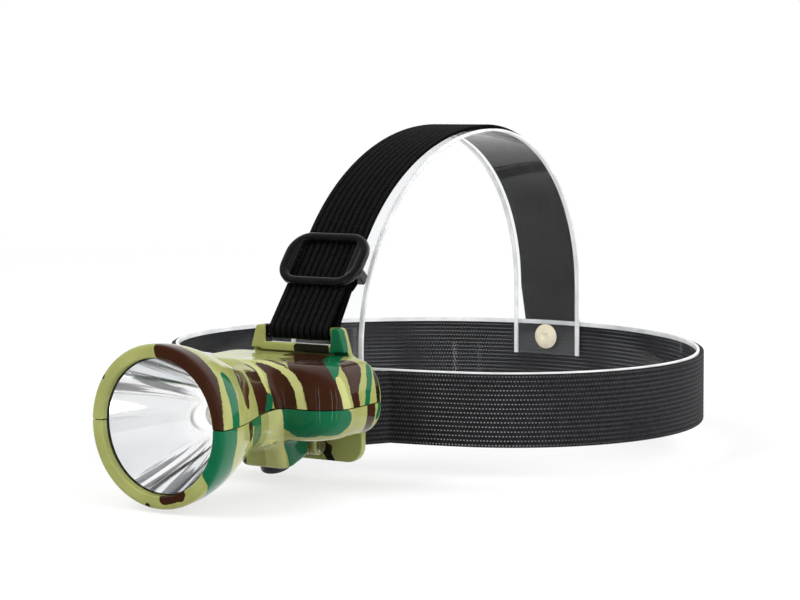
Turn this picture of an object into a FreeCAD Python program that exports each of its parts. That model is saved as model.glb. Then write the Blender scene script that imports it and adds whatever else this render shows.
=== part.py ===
import FreeCAD, Part
import math
import os

V = FreeCAD.Vector

# Head torch on an elastic head harness, held open by a clear plastic former.
# Millimetres. The lamp points along -Y, +Z is up, and the origin is the middle
# of the head opening, in the plane of the headband's lower edge.

# Webbing and clear former
WEB_WIDTH = 25.0
WEB_THICK = 1.3
FORMER_THICK = 1.0
FORMER_HEIGHT = 25.0
FORMER_RISE = 0.5
ARCH_WIDTH = 30.0
SOFT_GAP = 0.3
FACE_GAP = 0.05

# Plan of the former band, at the middle of its wall
RING_HALF_WIDTH = 102.2
RING_SIDE_RADIUS = 66.8
RING_SIDE_Y = -11.2
RING_FRONT_BULGE = 4.6
RING_BACK_BULGE = 27.0
RING_FRONT_Y = RING_SIDE_Y - RING_SIDE_RADIUS - RING_FRONT_BULGE
RING_BACK_Y = RING_SIDE_Y + RING_SIDE_RADIUS + RING_BACK_BULGE

# Clear arch over the head, and how far the strap stands off it in front
ARCH_TOP_Z = 105.0
ARCH_TOP_Y = 10.0
ARCH_FRONT_SPRING_Z = 30.0
ARCH_BACK_SPRING_Z = 40.0
ARCH_FOOT_Z = 11.6
STRAP_SLACK = 5.0
STRAP_END_Z = 1.5

# Rivets of the former
RIVET_Z = 19.0
RIVET_HEAD_RADIUS = 5.0
RIVET_HEAD_RISE = 1.5
RIVET_SHANK_RADIUS = 1.8
RIVET_TAIL_RADIUS = 2.6
RIVET_FIT = 0.05

# Back plate, in front of the head ring
PLATE_STAND_OFF = 14.4
PLATE_FRONT_Y = RING_FRONT_Y - PLATE_STAND_OFF
PLATE_THICK = 2.6
PLATE_HALF_WIDTH = 24.5
PLATE_LOW_Z = -5.3
PLATE_HIGH_Z = 28.8
PLATE_CORNER = 6.0
LOOP_TOP_Z = 40.4
LOOP_HALF_WIDTH = 19.6
LOOP_SLOT_HALF = 13.7
LOOP_TOP_HALF_WIDTH = 17.0
LOOP_SLOT_LOW_Z = 31.6
LOOP_BAR_RADIUS = 1.6
POST_REACH = 2.5
POST_LOW_Z = 32.3
SHELF_THICK = 2.1
ROD_RADIUS = 1.5
ROD_X = 19.0
ROD_STAND_OFF = 6.6
ROD_Y = RING_FRONT_Y - ROD_STAND_OFF
BAND_LOOP_REACH = 7.5

# Bell and housing, in front of the back plate
HOUSING_GAP = 0.6
HOUSING_DEPTH = 30.9
RIM_REACH = 49.0
HOUSING_REAR_Y = PLATE_FRONT_Y - HOUSING_GAP
HOUSING_FRONT_Y = HOUSING_REAR_Y - HOUSING_DEPTH
BELL_AXIS_Z = 16.2
RIM_FRONT_Y = HOUSING_FRONT_Y - RIM_REACH
RIM_RADIUS = 26.2
RIM_OPENING_RADIUS = 21.8
RIM_ROUND = 1.5
BELL_LENGTH = 47.9
NECK_RADIUS = 13.4
WALL = 1.8
SEAM_Z = 17.0
SEAM_GAP = 0.06
HOUSING_HALF_LENGTH = 34.5
HOUSING_LOW_Z = 5.6
HOUSING_HIGH_Z = 31.2
HOUSING_END_ROUND = 10.0
HOUSING_TOP_ROUND = 7.0
HOUSING_LOW_ROUND = 5.5
HOUSING_REAR_ROUND = 1.2
HOUSING_FRONT_CORNER = 11.0
HOUSING_REAR_CORNER = 4.0
HOUSING_FULLNESS = 2.5
HOUSING_SECTIONS = 13

# Switch boss below the seam, narrowing towards its sloping lower face
BOSS_HALF_WIDTH = 10.4
BOSS_CORNER = 4.5
BOSS_WALL = 1.4
BOSS_TOP_REACH = 32.4
BOSS_TOP_SETBACK = 6.4
BOSS_LOW_REACH = 20.4
BOSS_LOW_SETBACK = 9.0
BOSS_TOP_FRONT_Y = HOUSING_REAR_Y - BOSS_TOP_REACH
BOSS_TOP_REAR_Y = HOUSING_REAR_Y - BOSS_TOP_SETBACK
BOSS_LOW_FRONT_Y = HOUSING_REAR_Y - BOSS_LOW_REACH
BOSS_LOW_REAR_Y = HOUSING_REAR_Y - BOSS_LOW_SETBACK
BOSS_LOW_Z = -10.0
BOSS_FACE_TILT = 17.0

# Switch
BUTTON_SETBACK = 15.9
BUTTON_Y = HOUSING_REAR_Y - BUTTON_SETBACK
BUTTON_Z = -3.4
BUTTON_RADIUS = 5.2
BUTTON_RISE = 3.2
BUTTON_TRAVEL = 1.5
BUTTON_FIT = 0.3
BUTTON_WING_REACH = 7.6
BUTTON_WING_THICK = 1.0
SWITCH_WIDTH = 8.0
SWITCH_HEIGHT = 4.5
SWITCH_PLATE_THICK = 1.2

# Optics
LIP_THICK = 2.6
SEAL_THICK = 0.7
SEAL_SHOW = 0.4
LENS_THICK = 1.6
LENS_FIT = 0.15
REFLECTOR_WALL = 1.0
REFLECTOR_MOUTH_RADIUS = 22.2
REFLECTOR_THROAT_RADIUS = 4.2
REFLECTOR_DEPTH = 27.0
REFLECTOR_POWER = 1.6
LED_RADIUS = 2.4
LED_BASE = 0.8
BOARD_RADIUS = 8.0
BOARD_THICK = 1.6
SINK_RADIUS = 9.4
SINK_THICK = 5.0
SINK_SLOTS = 5
SINK_SLOT_WIDTH = 1.4
DRIVER_THICK = 1.2

# Cell and charging
CELL_RADIUS = 9.15
CELL_FIT = 0.35
CELL_END_ROOM = 7.5
CELL_SOCKET_GAP = 0.8
CELL_REAR_ROOM = 7.7
CRADLE_THICK = 1.6
CRADLE_X = 16.0
CONTACT_THICK = 0.4
CONTACT_WIDTH = 8.0
CONTACT_HALF_HEIGHT = 6.9
CONTACT_FIN_Y = 3.0
SOCKET_FROM_END = 7.5
SOCKET_X = SOCKET_FROM_END - HOUSING_HALF_LENGTH
SOCKET_RADIUS = 3.2
SOCKET_DEPTH = 8.4
SOCKET_BORE_RADIUS = 1.75
SOCKET_PIN_RADIUS = 0.65

# Screws that close the shells
SCREW_FROM_END = 14.5
SCREW_X = HOUSING_HALF_LENGTH - SCREW_FROM_END
SCREW_RADIUS = 1.1
SCREW_HEAD_RADIUS = 2.1
SCREW_HEAD_HEIGHT = 1.3
SCREW_LENGTH = 17.0
SCREW_POST_RADIUS = 2.6
SCREW_FIT = 0.05

# Hinge at the foot of the back plate
HINGE_STAND_OFF = 4.6
HINGE_Y = PLATE_FRONT_Y - HINGE_STAND_OFF
HINGE_Z = 0.2
HINGE_PIN_RADIUS = 1.2
HINGE_EYE_RADIUS = 3.0
HINGE_KNUCKLE_HALF = 7.5
HINGE_EAR_THICK = 2.6
HINGE_SIDE_GAP = 0.3
HINGE_FIT = 0.05
HINGE_HEAD_RADIUS = 2.0
HINGE_HEAD_THICK = 0.8

# Strap slider
SLIDER_WIDTH = 33.8
SLIDER_LENGTH = 21.6
SLIDER_THICK = 2.4
SLIDER_RAIL = 3.2
SLIDER_BAR = 3.0
SLIDER_CORNER = 8.5
SLIDER_PIN_RADIUS = 0.8
SLIDER_PIN_DROP = 4.0
SLIDER_EAR_LENGTH = 4.0
SLIDER_HEIGHT_UP_STRAP = 26.6
SLIDER_CLEARANCE = 0.25
SEWN_LENGTH = 3.2

# Points along the drawn curves, tries of the strap's tangent, and a size beyond the whole lamp
BELL_STEPS = 6
REFLECTOR_STEPS = 8
TANGENT_TRIES = 50
BEYOND = 400.0


def save(shape, name):
    """Write one node."""
    shape.exportStep("parts/" + name + ".step")


def box(x0, x1, y0, y1, z0, z1):
    """Block between two corners."""
    return Part.makeBox(x1 - x0, y1 - y0, z1 - z0, V(x0, y0, z0))


def rod(radius, start, end):
    """Round bar between two points."""
    along = end.sub(start)
    return Part.makeCylinder(radius, along.Length, start, along)


def cross_rod(radius, half, y, z):
    """Round bar along X, as long on both sides of the middle."""
    return rod(radius, V(-half, y, z), V(half, y, z))


def joined(shapes):
    """One solid from several that meet."""
    return shapes[0].multiFuse(shapes[1:]).removeSplitter()


def polygon(points):
    """Flat face with straight sides."""
    return Part.Face(Part.makePolygon(points + [points[0]]))


def arc_edge(centre_x, centre_y, radius, start_deg, end_deg, z=0.0):
    """Circular arc in a level plane."""
    circle = Part.Circle(V(centre_x, centre_y, z), V(0, 0, 1), radius)
    return Part.ArcOfCircle(circle, math.radians(start_deg), math.radians(end_deg)).toShape()


def rounded_outline(half_x, low_y, high_y, corners, z):
    """Closed level wire of four lines and four arcs, corners counted from +X +Y anticlockwise."""
    arcs = []
    for turn, corner in enumerate(corners):
        x = (half_x - corner) * (1 if turn in (0, 3) else -1)
        y = high_y - corner if turn in (0, 1) else low_y + corner
        arcs.append(arc_edge(x, y, corner, 90 * turn, 90 * turn + 90, z))
    edges = []
    for turn, arc in enumerate(arcs):
        start = arc.Vertexes[-1].Point
        end = arcs[(turn + 1) % 4].Vertexes[0].Point
        edges += [arc, Part.makeLine(start, end)]
    return Part.Wire(edges)


# Plan curves of the head ring


def end_arc(reach):
    """Radius, centre offset and half angle of the arc that meets both side arcs."""
    short = RING_SIDE_RADIUS - reach
    radius = RING_SIDE_RADIUS - (short ** 2 + SIDE_X ** 2) / (2.0 * short)
    offset = radius - reach
    return radius, offset, math.degrees(math.atan2(SIDE_X, offset))


SIDE_X = RING_HALF_WIDTH - RING_SIDE_RADIUS
FRONT_RADIUS, FRONT_OFFSET, FRONT_ANGLE = end_arc(RING_SIDE_Y - RING_FRONT_Y)
BACK_RADIUS, BACK_OFFSET, BACK_ANGLE = end_arc(RING_BACK_Y - RING_SIDE_Y)
FRONT_CENTRE_Y = RING_SIDE_Y + FRONT_OFFSET
BACK_CENTRE_Y = RING_SIDE_Y - BACK_OFFSET


def ring_wire(offset):
    """Head ring at a distance outside the middle of the former's wall."""
    side = RING_SIDE_RADIUS + offset
    return Part.Wire([
        arc_edge(0, FRONT_CENTRE_Y, FRONT_RADIUS + offset, -90 - FRONT_ANGLE, -90 + FRONT_ANGLE),
        arc_edge(SIDE_X, RING_SIDE_Y, side, -90 + FRONT_ANGLE, 90 - BACK_ANGLE),
        arc_edge(0, BACK_CENTRE_Y, BACK_RADIUS + offset, 90 - BACK_ANGLE, 90 + BACK_ANGLE),
        arc_edge(-SIDE_X, RING_SIDE_Y, side, 90 + BACK_ANGLE, 270 - FRONT_ANGLE),
    ])


def ring_face(inner, outer):
    """Flat ring between two offsets."""
    return Part.Face(ring_wire(outer)).cut(Part.Face(ring_wire(inner)))


def ring_front_y(x, offset):
    """Y of the ring's front arc at a given X."""
    return FRONT_CENTRE_Y - math.sqrt((FRONT_RADIUS + offset) ** 2 - x ** 2)


def ring_back_y(x, offset):
    """Y of the ring's back arc at a given X."""
    return BACK_CENTRE_Y + math.sqrt((BACK_RADIUS + offset) ** 2 - x ** 2)


def prism(face, z0, z1):
    """Level face pushed up between two heights."""
    solid = face.extrude(V(0, 0, z1 - z0))
    solid.translate(V(0, 0, z0))
    return solid


# Side profiles are drawn flat, with Y to the right and Z up, then stood up


def stand_up(face, width):
    """Side profile pushed across X, centred on the middle plane."""
    solid = face.extrude(V(0, 0, width))
    solid.rotate(V(0, 0, 0), V(1, 1, 1), 120)
    solid.translate(V(-width / 2.0, 0, 0))
    return solid


def quarter(centre, reach, rise, start_deg, end_deg):
    """Part of an ellipse in the side profile, angles from +Y towards +Z."""
    middle = V(centre[0], centre[1], 0)
    if reach >= rise:
        curve = Part.Ellipse(middle, reach, rise)
        shift = 0.0
    else:
        curve = Part.Ellipse(middle.add(V(0, rise, 0)), middle.add(V(-reach, 0, 0)), middle)
        shift = -90.0
    first, last = math.radians(start_deg + shift), math.radians(end_deg + shift)
    return Part.ArcOfEllipse(curve, first, last).toShape()


# Former: band, arch and rivets

FORMER_INNER = -FORMER_THICK / 2.0
FORMER_OUTER = FORMER_THICK / 2.0
FORMER_LOW_Z = FORMER_RISE
FORMER_HIGH_Z = FORMER_RISE + FORMER_HEIGHT
ARCH_FRONT_Y = ring_front_y(ARCH_WIDTH / 2.0, FORMER_INNER) + FACE_GAP + FORMER_THICK / 2.0
ARCH_BACK_Y = ring_back_y(ARCH_WIDTH / 2.0, FORMER_INNER) - FACE_GAP - FORMER_THICK / 2.0


def arch_boundary(offset, slack=0.0):
    """Front quarter and back quarter of the arch at an offset from the middle of its wall."""
    front = (ARCH_TOP_Y - ARCH_FRONT_Y + offset + slack, ARCH_TOP_Z - ARCH_FRONT_SPRING_Z + offset)
    back = (ARCH_BACK_Y - ARCH_TOP_Y + offset, ARCH_TOP_Z - ARCH_BACK_SPRING_Z + offset)
    return front, back


def arch_face(inner, outer, foot_z):
    """Arch between two offsets, with straight legs down to the feet."""
    edges = []
    ends = []
    for offset in (inner, outer):
        front, back = arch_boundary(offset)
        front_foot = V(ARCH_TOP_Y - front[0], foot_z, 0)
        back_foot = V(ARCH_TOP_Y + back[0], foot_z, 0)
        edges += [
            Part.makeLine(back_foot, V(back_foot.x, ARCH_BACK_SPRING_Z, 0)),
            quarter((ARCH_TOP_Y, ARCH_BACK_SPRING_Z), back[0], back[1], 0, 90),
            quarter((ARCH_TOP_Y, ARCH_FRONT_SPRING_Z), front[0], front[1], 90, 180),
            Part.makeLine(V(front_foot.x, ARCH_FRONT_SPRING_Z, 0), front_foot),
        ]
        ends.append((front_foot, back_foot))
    edges += [Part.makeLine(ends[0][side], ends[1][side]) for side in (0, 1)]
    return Part.Face(Part.Wire(Part.__sortEdges__(edges)))


def rivet_parts(grow):
    """Rivets, or with grow their holes: head inside, shank, and a tail sunk in the former."""
    solids = []
    for inside, outside, way in (
        (ARCH_FRONT_Y + FORMER_THICK / 2.0, RING_FRONT_Y - FORMER_THICK / 2.0, -1),
        (ARCH_BACK_Y - FORMER_THICK / 2.0, RING_BACK_Y + FORMER_THICK / 2.0, 1),
    ):
        length = abs(outside - inside)
        sink = RIVET_TAIL_RADIUS - RIVET_SHANK_RADIUS
        along = V(0, way, 0)
        start = V(0, inside, RIVET_Z)
        shank = Part.makeCylinder(RIVET_SHANK_RADIUS + grow, length, start, along)
        tail = Part.makeCone(RIVET_SHANK_RADIUS + grow, RIVET_TAIL_RADIUS + grow, sink,
                             V(0, outside - way * sink, RIVET_Z), along)
        pieces = [shank, tail]
        if not grow:
            dome = (RIVET_HEAD_RADIUS ** 2 + RIVET_HEAD_RISE ** 2) / (2.0 * RIVET_HEAD_RISE)
            ball = Part.makeSphere(dome, V(0, inside + way * (dome - RIVET_HEAD_RISE), RIVET_Z))
            head = Part.makeCylinder(RIVET_HEAD_RADIUS, 2.0 * RIVET_HEAD_RISE, start, V(0, -way, 0))
            pieces.append(ball.common(head))
        solids.append(joined(pieces))
    return Part.makeCompound(solids)


def former_band():
    """Clear strip bent into the head ring."""
    ring = prism(ring_face(FORMER_INNER, FORMER_OUTER), FORMER_LOW_Z, FORMER_HIGH_Z)
    return ring.cut(rivet_parts(RIVET_FIT))


def former_arch():
    """Clear strip over the head, with its feet inside the band."""
    arch = stand_up(arch_face(FORMER_INNER, FORMER_OUTER, ARCH_FOOT_Z), ARCH_WIDTH)
    feet = [edge for edge in arch.Edges
            if abs(edge.Length - FORMER_THICK) < FACE_GAP and edge.BoundBox.ZMax < ARCH_FOOT_Z + 1]
    arch = arch.makeFillet(ARCH_WIDTH / 10.0, feet)
    return arch.cut(rivet_parts(RIVET_FIT))


# Headband: the band lies on the former and each end is sewn in a loop round a rod

BAND_INNER = FORMER_OUTER + SOFT_GAP
BAND_OUTER = BAND_INNER + WEB_THICK
BAND_MIDDLE = (BAND_INNER + BAND_OUTER) / 2.0


def tapered_link(start, start_radius, end, end_radius):
    """Level column round two circles and the tangents that join them."""
    reach = end.sub(start)
    turn = math.atan2(reach.y, reach.x)
    lean = math.acos((start_radius - end_radius) / reach.Length)
    corners = []
    for side in (1, -1):
        way = V(math.cos(turn + side * lean), math.sin(turn + side * lean), 0)
        corners.append((start.add(way * start_radius), end.add(way * end_radius)))
    body = polygon([corners[0][0], corners[0][1], corners[1][1], corners[1][0]])
    columns = [prism(body, 0, WEB_WIDTH)]
    for centre, radius in ((start, start_radius), (end, end_radius)):
        columns.append(Part.makeCylinder(radius, WEB_WIDTH, centre))
    return columns


def headband():
    """Elastic band along the former with a sewn loop at each end."""
    clear = ROD_RADIUS + SOFT_GAP
    merge_x = ROD_X + BAND_LOOP_REACH
    merge_y = ring_front_y(merge_x, BAND_MIDDLE)
    ring = prism(ring_face(BAND_INNER, BAND_OUTER), 0, WEB_WIDTH)
    ring = ring.cut(box(-merge_x, merge_x, 2.0 * RING_FRONT_Y, 0, 0, WEB_WIDTH))
    pieces = [ring]
    eyes = []
    for side in (1, -1):
        start, end = V(side * ROD_X, ROD_Y, 0), V(side * merge_x, merge_y, 0)
        pieces += tapered_link(start, clear + WEB_THICK, end, WEB_THICK / 2.0)
        eyes.append(Part.makeCylinder(clear, WEB_WIDTH, start))
    return joined(pieces).cut(Part.makeCompound(eyes))


# Overhead strap: from the back of the headband over the arch to the loop bar

BAR_Y = PLATE_FRONT_Y + PLATE_THICK / 2.0
BAR_Z = LOOP_TOP_Z - LOOP_BAR_RADIUS
WRAP_INNER = LOOP_BAR_RADIUS + SOFT_GAP
WRAP_OUTER = WRAP_INNER + WEB_THICK
WRAP_MIDDLE = (WRAP_INNER + WRAP_OUTER) / 2.0
STRAP_BACK_Y = ring_back_y(0, BAND_OUTER) + SOFT_GAP + WEB_THICK / 2.0


def strap_tangent(offset, wrap):
    """Angle on the front quarter where a line leaves it to pass the loop bar at wrap."""
    (reach, rise), _ = arch_boundary(offset, STRAP_SLACK)
    low, high = math.radians(1.0), math.radians(89.0)
    for _ in range(TANGENT_TRIES):
        angle = (low + high) / 2.0
        y = ARCH_TOP_Y - reach * math.cos(angle)
        z = ARCH_FRONT_SPRING_Z + rise * math.sin(angle)
        step_y, step_z = reach * math.sin(angle), rise * math.cos(angle)
        length = math.hypot(step_y, step_z)
        beside = ((BAR_Y - y) * step_z - (BAR_Z - z) * step_y) / length
        if beside < wrap:
            low = angle
        else:
            high = angle
    return math.degrees(angle), V(y, z, 0), V(step_y / length, step_z / length, 0)


STRAP_LEAVES_DEG, STRAP_LEAVES, STRAP_UP = strap_tangent(BAND_MIDDLE, WRAP_MIDDLE)
STRAP_FRONT = V(-STRAP_UP.y, STRAP_UP.x, 0)


def strap_face():
    """Running layer and the turn round the loop bar, in the side profile."""
    loops = []
    for offset, wrap in ((BAND_INNER, WRAP_INNER), (BAND_OUTER, WRAP_OUTER)):
        angle, leaves, up = strap_tangent(offset, wrap)
        front, back = arch_boundary(offset, STRAP_SLACK)
        side = offset - BAND_MIDDLE
        bar = V(BAR_Y, BAR_Z, 0)
        meets = bar.add(V(-up.y, up.x, 0) * wrap)
        ends = bar.sub(V(-up.y, up.x, 0) * wrap)
        lowest = bar.sub(up * wrap)
        hem = V(STRAP_BACK_Y + side, STRAP_END_Z, 0)
        shoulder = V(STRAP_BACK_Y + side, FORMER_HIGH_Z, 0)
        spring = V(ARCH_TOP_Y + back[0], ARCH_BACK_SPRING_Z, 0)
        loops.append([
            Part.makeLine(hem, shoulder),
            Part.makeLine(shoulder, spring),
            quarter((ARCH_TOP_Y, ARCH_BACK_SPRING_Z), back[0], back[1], 0, 90),
            quarter((ARCH_TOP_Y, ARCH_FRONT_SPRING_Z), front[0], front[1], 90, 180 - angle),
            Part.makeLine(leaves, meets),
            Part.Arc(meets, lowest, ends).toShape(),
        ])
    caps = [Part.makeLine(loops[0][0].Vertexes[0].Point, loops[1][0].Vertexes[0].Point),
            Part.makeLine(loops[0][-1].Vertexes[-1].Point, loops[1][-1].Vertexes[-1].Point)]
    return Part.Face(Part.Wire(Part.__sortEdges__(loops[0] + loops[1] + caps)))


# The slider stands square to the strap: local Y runs up the strap, local Z out of its face

STRAP_FOOT = V(BAR_Y, BAR_Z, 0).add(STRAP_FRONT * WRAP_MIDDLE)
SLIDER_AT = STRAP_FOOT.add(STRAP_UP * SLIDER_HEIGHT_UP_STRAP)
SLIDER_PIN_DEPTH = WEB_THICK / 2.0 + SLIDER_CLEARANCE + WEB_THICK + SLIDER_CLEARANCE + SLIDER_PIN_RADIUS


def on_strap(shape, along=0.0):
    """Place a shape drawn in strap axes at the slider, moved along the strap."""
    place = SLIDER_AT.add(STRAP_UP * along)
    axes = FreeCAD.Matrix(
        1, 0, 0, 0,
        0, STRAP_UP.x, STRAP_FRONT.x, place.x,
        0, STRAP_UP.y, STRAP_FRONT.y, place.y,
        0, 0, 0, 1)
    copy = shape.copy()
    copy.Placement = FreeCAD.Placement(axes).multiply(copy.Placement)
    return copy


def strap_slider():
    """Frame in front of the strap, and a pin behind it between two ears."""
    low = WEB_THICK / 2.0 + SLIDER_CLEARANCE
    half_x, half_y = SLIDER_WIDTH / 2.0, SLIDER_LENGTH / 2.0
    opening_y = half_y - SLIDER_BAR
    outer = Part.Face(rounded_outline(half_x, -half_y, half_y, [SLIDER_CORNER] * 4, low))
    window = Part.Face(rounded_outline(half_x - SLIDER_RAIL, -opening_y, opening_y,
                                       [SLIDER_CORNER - SLIDER_BAR] * 4, low))
    frame = outer.cut(window).extrude(V(0, 0, SLIDER_THICK))
    top = low + SLIDER_THICK
    rims = [edge for edge in frame.Edges
            if edge.BoundBox.ZMin > top - FACE_GAP and edge.BoundBox.ZLength < FACE_GAP]
    frame = frame.makeFillet(SLIDER_BAR / 4.0, rims)
    pieces = [frame]
    inside = half_x - SLIDER_RAIL
    deep = SLIDER_PIN_DEPTH + SLIDER_PIN_RADIUS
    for side in (1, -1):
        near, far = sorted((side * (inside - SLIDER_BAR / 4.0), side * (half_x - SLIDER_BAR / 4.0)))
        pieces.append(box(near, far, -SLIDER_PIN_DROP - SLIDER_EAR_LENGTH / 2.0,
                          -SLIDER_PIN_DROP + SLIDER_EAR_LENGTH / 2.0, -deep, low + SLIDER_THICK / 2.0))
    pieces.append(cross_rod(SLIDER_PIN_RADIUS, inside, -SLIDER_PIN_DROP, -SLIDER_PIN_DEPTH))
    return on_strap(joined(pieces))


def strap_end_loop():
    """Sewn end of the strap round the slider's pin."""
    clear = SLIDER_PIN_RADIUS + SLIDER_CLEARANCE
    thick = WEB_THICK
    ring = rod(clear + thick, V(0, 0, 0), V(WEB_WIDTH, 0, 0))
    ring = ring.cut(rod(clear, V(0, 0, 0), V(WEB_WIDTH, 0, 0)))
    tail = box(0, WEB_WIDTH, -clear - SEWN_LENGTH, -clear, -thick, thick)
    loop = joined([ring, tail.cut(rod(clear, V(0, 0, 0), V(WEB_WIDTH, 0, 0)))])
    loop.translate(V(-WEB_WIDTH / 2.0, -SLIDER_PIN_DROP, -SLIDER_PIN_DEPTH))
    return on_strap(loop)


def strap_return():
    """Layer that runs back up from the loop bar to the slider."""
    sewn_end = SLIDER_PIN_RADIUS + SLIDER_CLEARANCE + SEWN_LENGTH + SOFT_GAP
    top = SLIDER_AT.sub(STRAP_FRONT * SLIDER_PIN_DEPTH).sub(STRAP_UP * (SLIDER_PIN_DROP + sewn_end))
    foot = V(BAR_Y, BAR_Z, 0).sub(STRAP_FRONT * WRAP_MIDDLE)
    across = STRAP_FRONT * (WEB_THICK / 2.0)
    face = polygon([foot.sub(across), foot.add(across), top.add(across), top.sub(across)])
    return stand_up(face, WEB_WIDTH)


# Back plate: front plate, strap loop, shelves and rods for the headband, hinge knuckle

LOWER_SHELF_Z = -SOFT_GAP - SHELF_THICK
UPPER_SHELF_Z = WEB_WIDTH + SOFT_GAP
HINGE_REACH = HINGE_KNUCKLE_HALF + HINGE_SIDE_GAP + HINGE_EAR_THICK


def plate_outline():
    """Front view of the plate and its loop posts, drawn with X to the right and Z up."""
    right = [
        V(PLATE_HALF_WIDTH, PLATE_LOW_Z, 0),
        V(PLATE_HALF_WIDTH, PLATE_HIGH_Z - LOOP_BAR_RADIUS, 0),
        V(LOOP_HALF_WIDTH, LOOP_SLOT_LOW_Z, 0),
        V(LOOP_TOP_HALF_WIDTH, LOOP_TOP_Z, 0),
        V(LOOP_SLOT_HALF, LOOP_TOP_Z, 0),
        V(LOOP_SLOT_HALF, LOOP_SLOT_LOW_Z, 0),
    ]
    left = [V(-point.x, point.y, 0) for point in reversed(right)]
    return polygon(right + left)


def back_plate():
    """Plate that carries the lamp, the strap loop and the ends of the headband."""
    plate = plate_outline().extrude(V(0, 0, PLATE_THICK + POST_REACH))
    low = [edge for edge in plate.Edges
           if edge.BoundBox.ZLength > PLATE_THICK / 2.0
           and edge.BoundBox.YMax < PLATE_LOW_Z + FACE_GAP]
    plate = plate.makeFillet(PLATE_CORNER, low)
    upper = [edge for edge in plate.Edges
             if edge.BoundBox.ZLength > PLATE_THICK / 2.0 and edge.BoundBox.YMin > PLATE_HIGH_Z
             and abs(edge.BoundBox.XMax) > LOOP_SLOT_HALF + FACE_GAP
             and abs(edge.BoundBox.XMin) > LOOP_SLOT_HALF + FACE_GAP]
    plate = plate.makeFillet(LOOP_BAR_RADIUS, upper)
    plate.rotate(V(0, 0, 0), V(1, 0, 0), 90)
    plate.translate(V(0, PLATE_FRONT_Y + PLATE_THICK, 0))
    before = box(-BEYOND, BEYOND, PLATE_FRONT_Y - 2.0 * POST_REACH, PLATE_FRONT_Y, -BEYOND, POST_LOW_Z)
    plate = plate.cut(before)
    pieces = [plate, cross_rod(LOOP_BAR_RADIUS, LOOP_SLOT_HALF + LOOP_BAR_RADIUS, BAR_Y, BAR_Z)]
    middle_y = PLATE_FRONT_Y + PLATE_THICK / 2.0
    for low_z in (LOWER_SHELF_Z, UPPER_SHELF_Z):
        for side in (1, -1):
            near, far = sorted((side * (ROD_X - 2.0 * ROD_RADIUS), side * (ROD_X + ROD_RADIUS)))
            pieces.append(box(near, far, middle_y, ROD_Y, low_z, low_z + SHELF_THICK))
            tip = V(side * (ROD_X - ROD_RADIUS / 2.0), ROD_Y, low_z)
            pieces.append(Part.makeCylinder(1.5 * ROD_RADIUS, SHELF_THICK, tip))
    for side in (1, -1):
        pieces.append(rod(ROD_RADIUS, V(side * ROD_X, ROD_Y, LOWER_SHELF_Z),
                          V(side * ROD_X, ROD_Y, UPPER_SHELF_Z + SHELF_THICK)))
    knuckle = cross_rod(HINGE_EYE_RADIUS, HINGE_KNUCKLE_HALF, HINGE_Y, HINGE_Z)
    web = box(-HINGE_KNUCKLE_HALF, HINGE_KNUCKLE_HALF, HINGE_Y, middle_y,
              HINGE_Z - HINGE_EYE_RADIUS, HINGE_Z + HINGE_EYE_RADIUS)
    plate = joined(pieces + [knuckle, web])
    return plate.cut(cross_rod(HINGE_PIN_RADIUS, HINGE_REACH, HINGE_Y, HINGE_Z))


def hinge_pin():
    """Pin through the lamp's ears and the knuckle, with a head at each end."""
    half = HINGE_REACH + HINGE_SIDE_GAP
    pin = [cross_rod(HINGE_PIN_RADIUS, half, HINGE_Y, HINGE_Z)]
    for side in (1, -1):
        pin.append(rod(HINGE_HEAD_RADIUS, V(side * half, HINGE_Y, HINGE_Z),
                       V(side * (half + HINGE_HEAD_THICK), HINGE_Y, HINGE_Z)))
    return joined(pin)


# Lamp casing. Every form takes an inset, so the cavity is the same form made smaller


def bell_radius(share):
    """Outer radius along the bell: 0 at the rim, 1 at the neck, easing in at both ends."""
    return NECK_RADIUS + (RIM_RADIUS - NECK_RADIUS) * (1.0 + math.cos(math.pi * share)) / 2.0


def bell_form(inset):
    """Bell and neck turned about the lamp's axis."""
    front = RIM_FRONT_Y + (LIP_THICK if inset else RIM_ROUND)
    rear = RIM_FRONT_Y + RIM_ROUND + BELL_LENGTH
    points = []
    for step in range(BELL_STEPS + 1):
        share = step / BELL_STEPS
        points.append(V(0, front + (rear - front) * share, BELL_AXIS_Z + bell_radius(share) - inset))
    curve = Part.BSplineCurve()
    curve.interpolate(points, InitialTangent=V(0, 1, 0), FinalTangent=V(0, 1, 0))
    inside_y = HOUSING_FRONT_Y + HOUSING_FRONT_CORNER
    edges = [curve.toShape()]
    start = points[0]
    if not inset:
        tip = V(0, RIM_FRONT_Y, start.z - RIM_ROUND)
        bend = V(0, front - RIM_ROUND * math.sqrt(0.5), start.z - RIM_ROUND * (1.0 - math.sqrt(0.5)))
        edges.append(Part.Arc(start, bend, tip).toShape())
        start = tip
    corners = [start, V(0, start.y, BELL_AXIS_Z), V(0, inside_y, BELL_AXIS_Z),
               V(0, inside_y, points[-1].z), points[-1]]
    edges += [Part.makeLine(first, last) for first, last in zip(corners, corners[1:])]
    face = Part.Face(Part.Wire(Part.__sortEdges__(edges)))
    return face.revolve(V(0, 0, BELL_AXIS_Z), V(0, 1, 0), 360)


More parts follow.
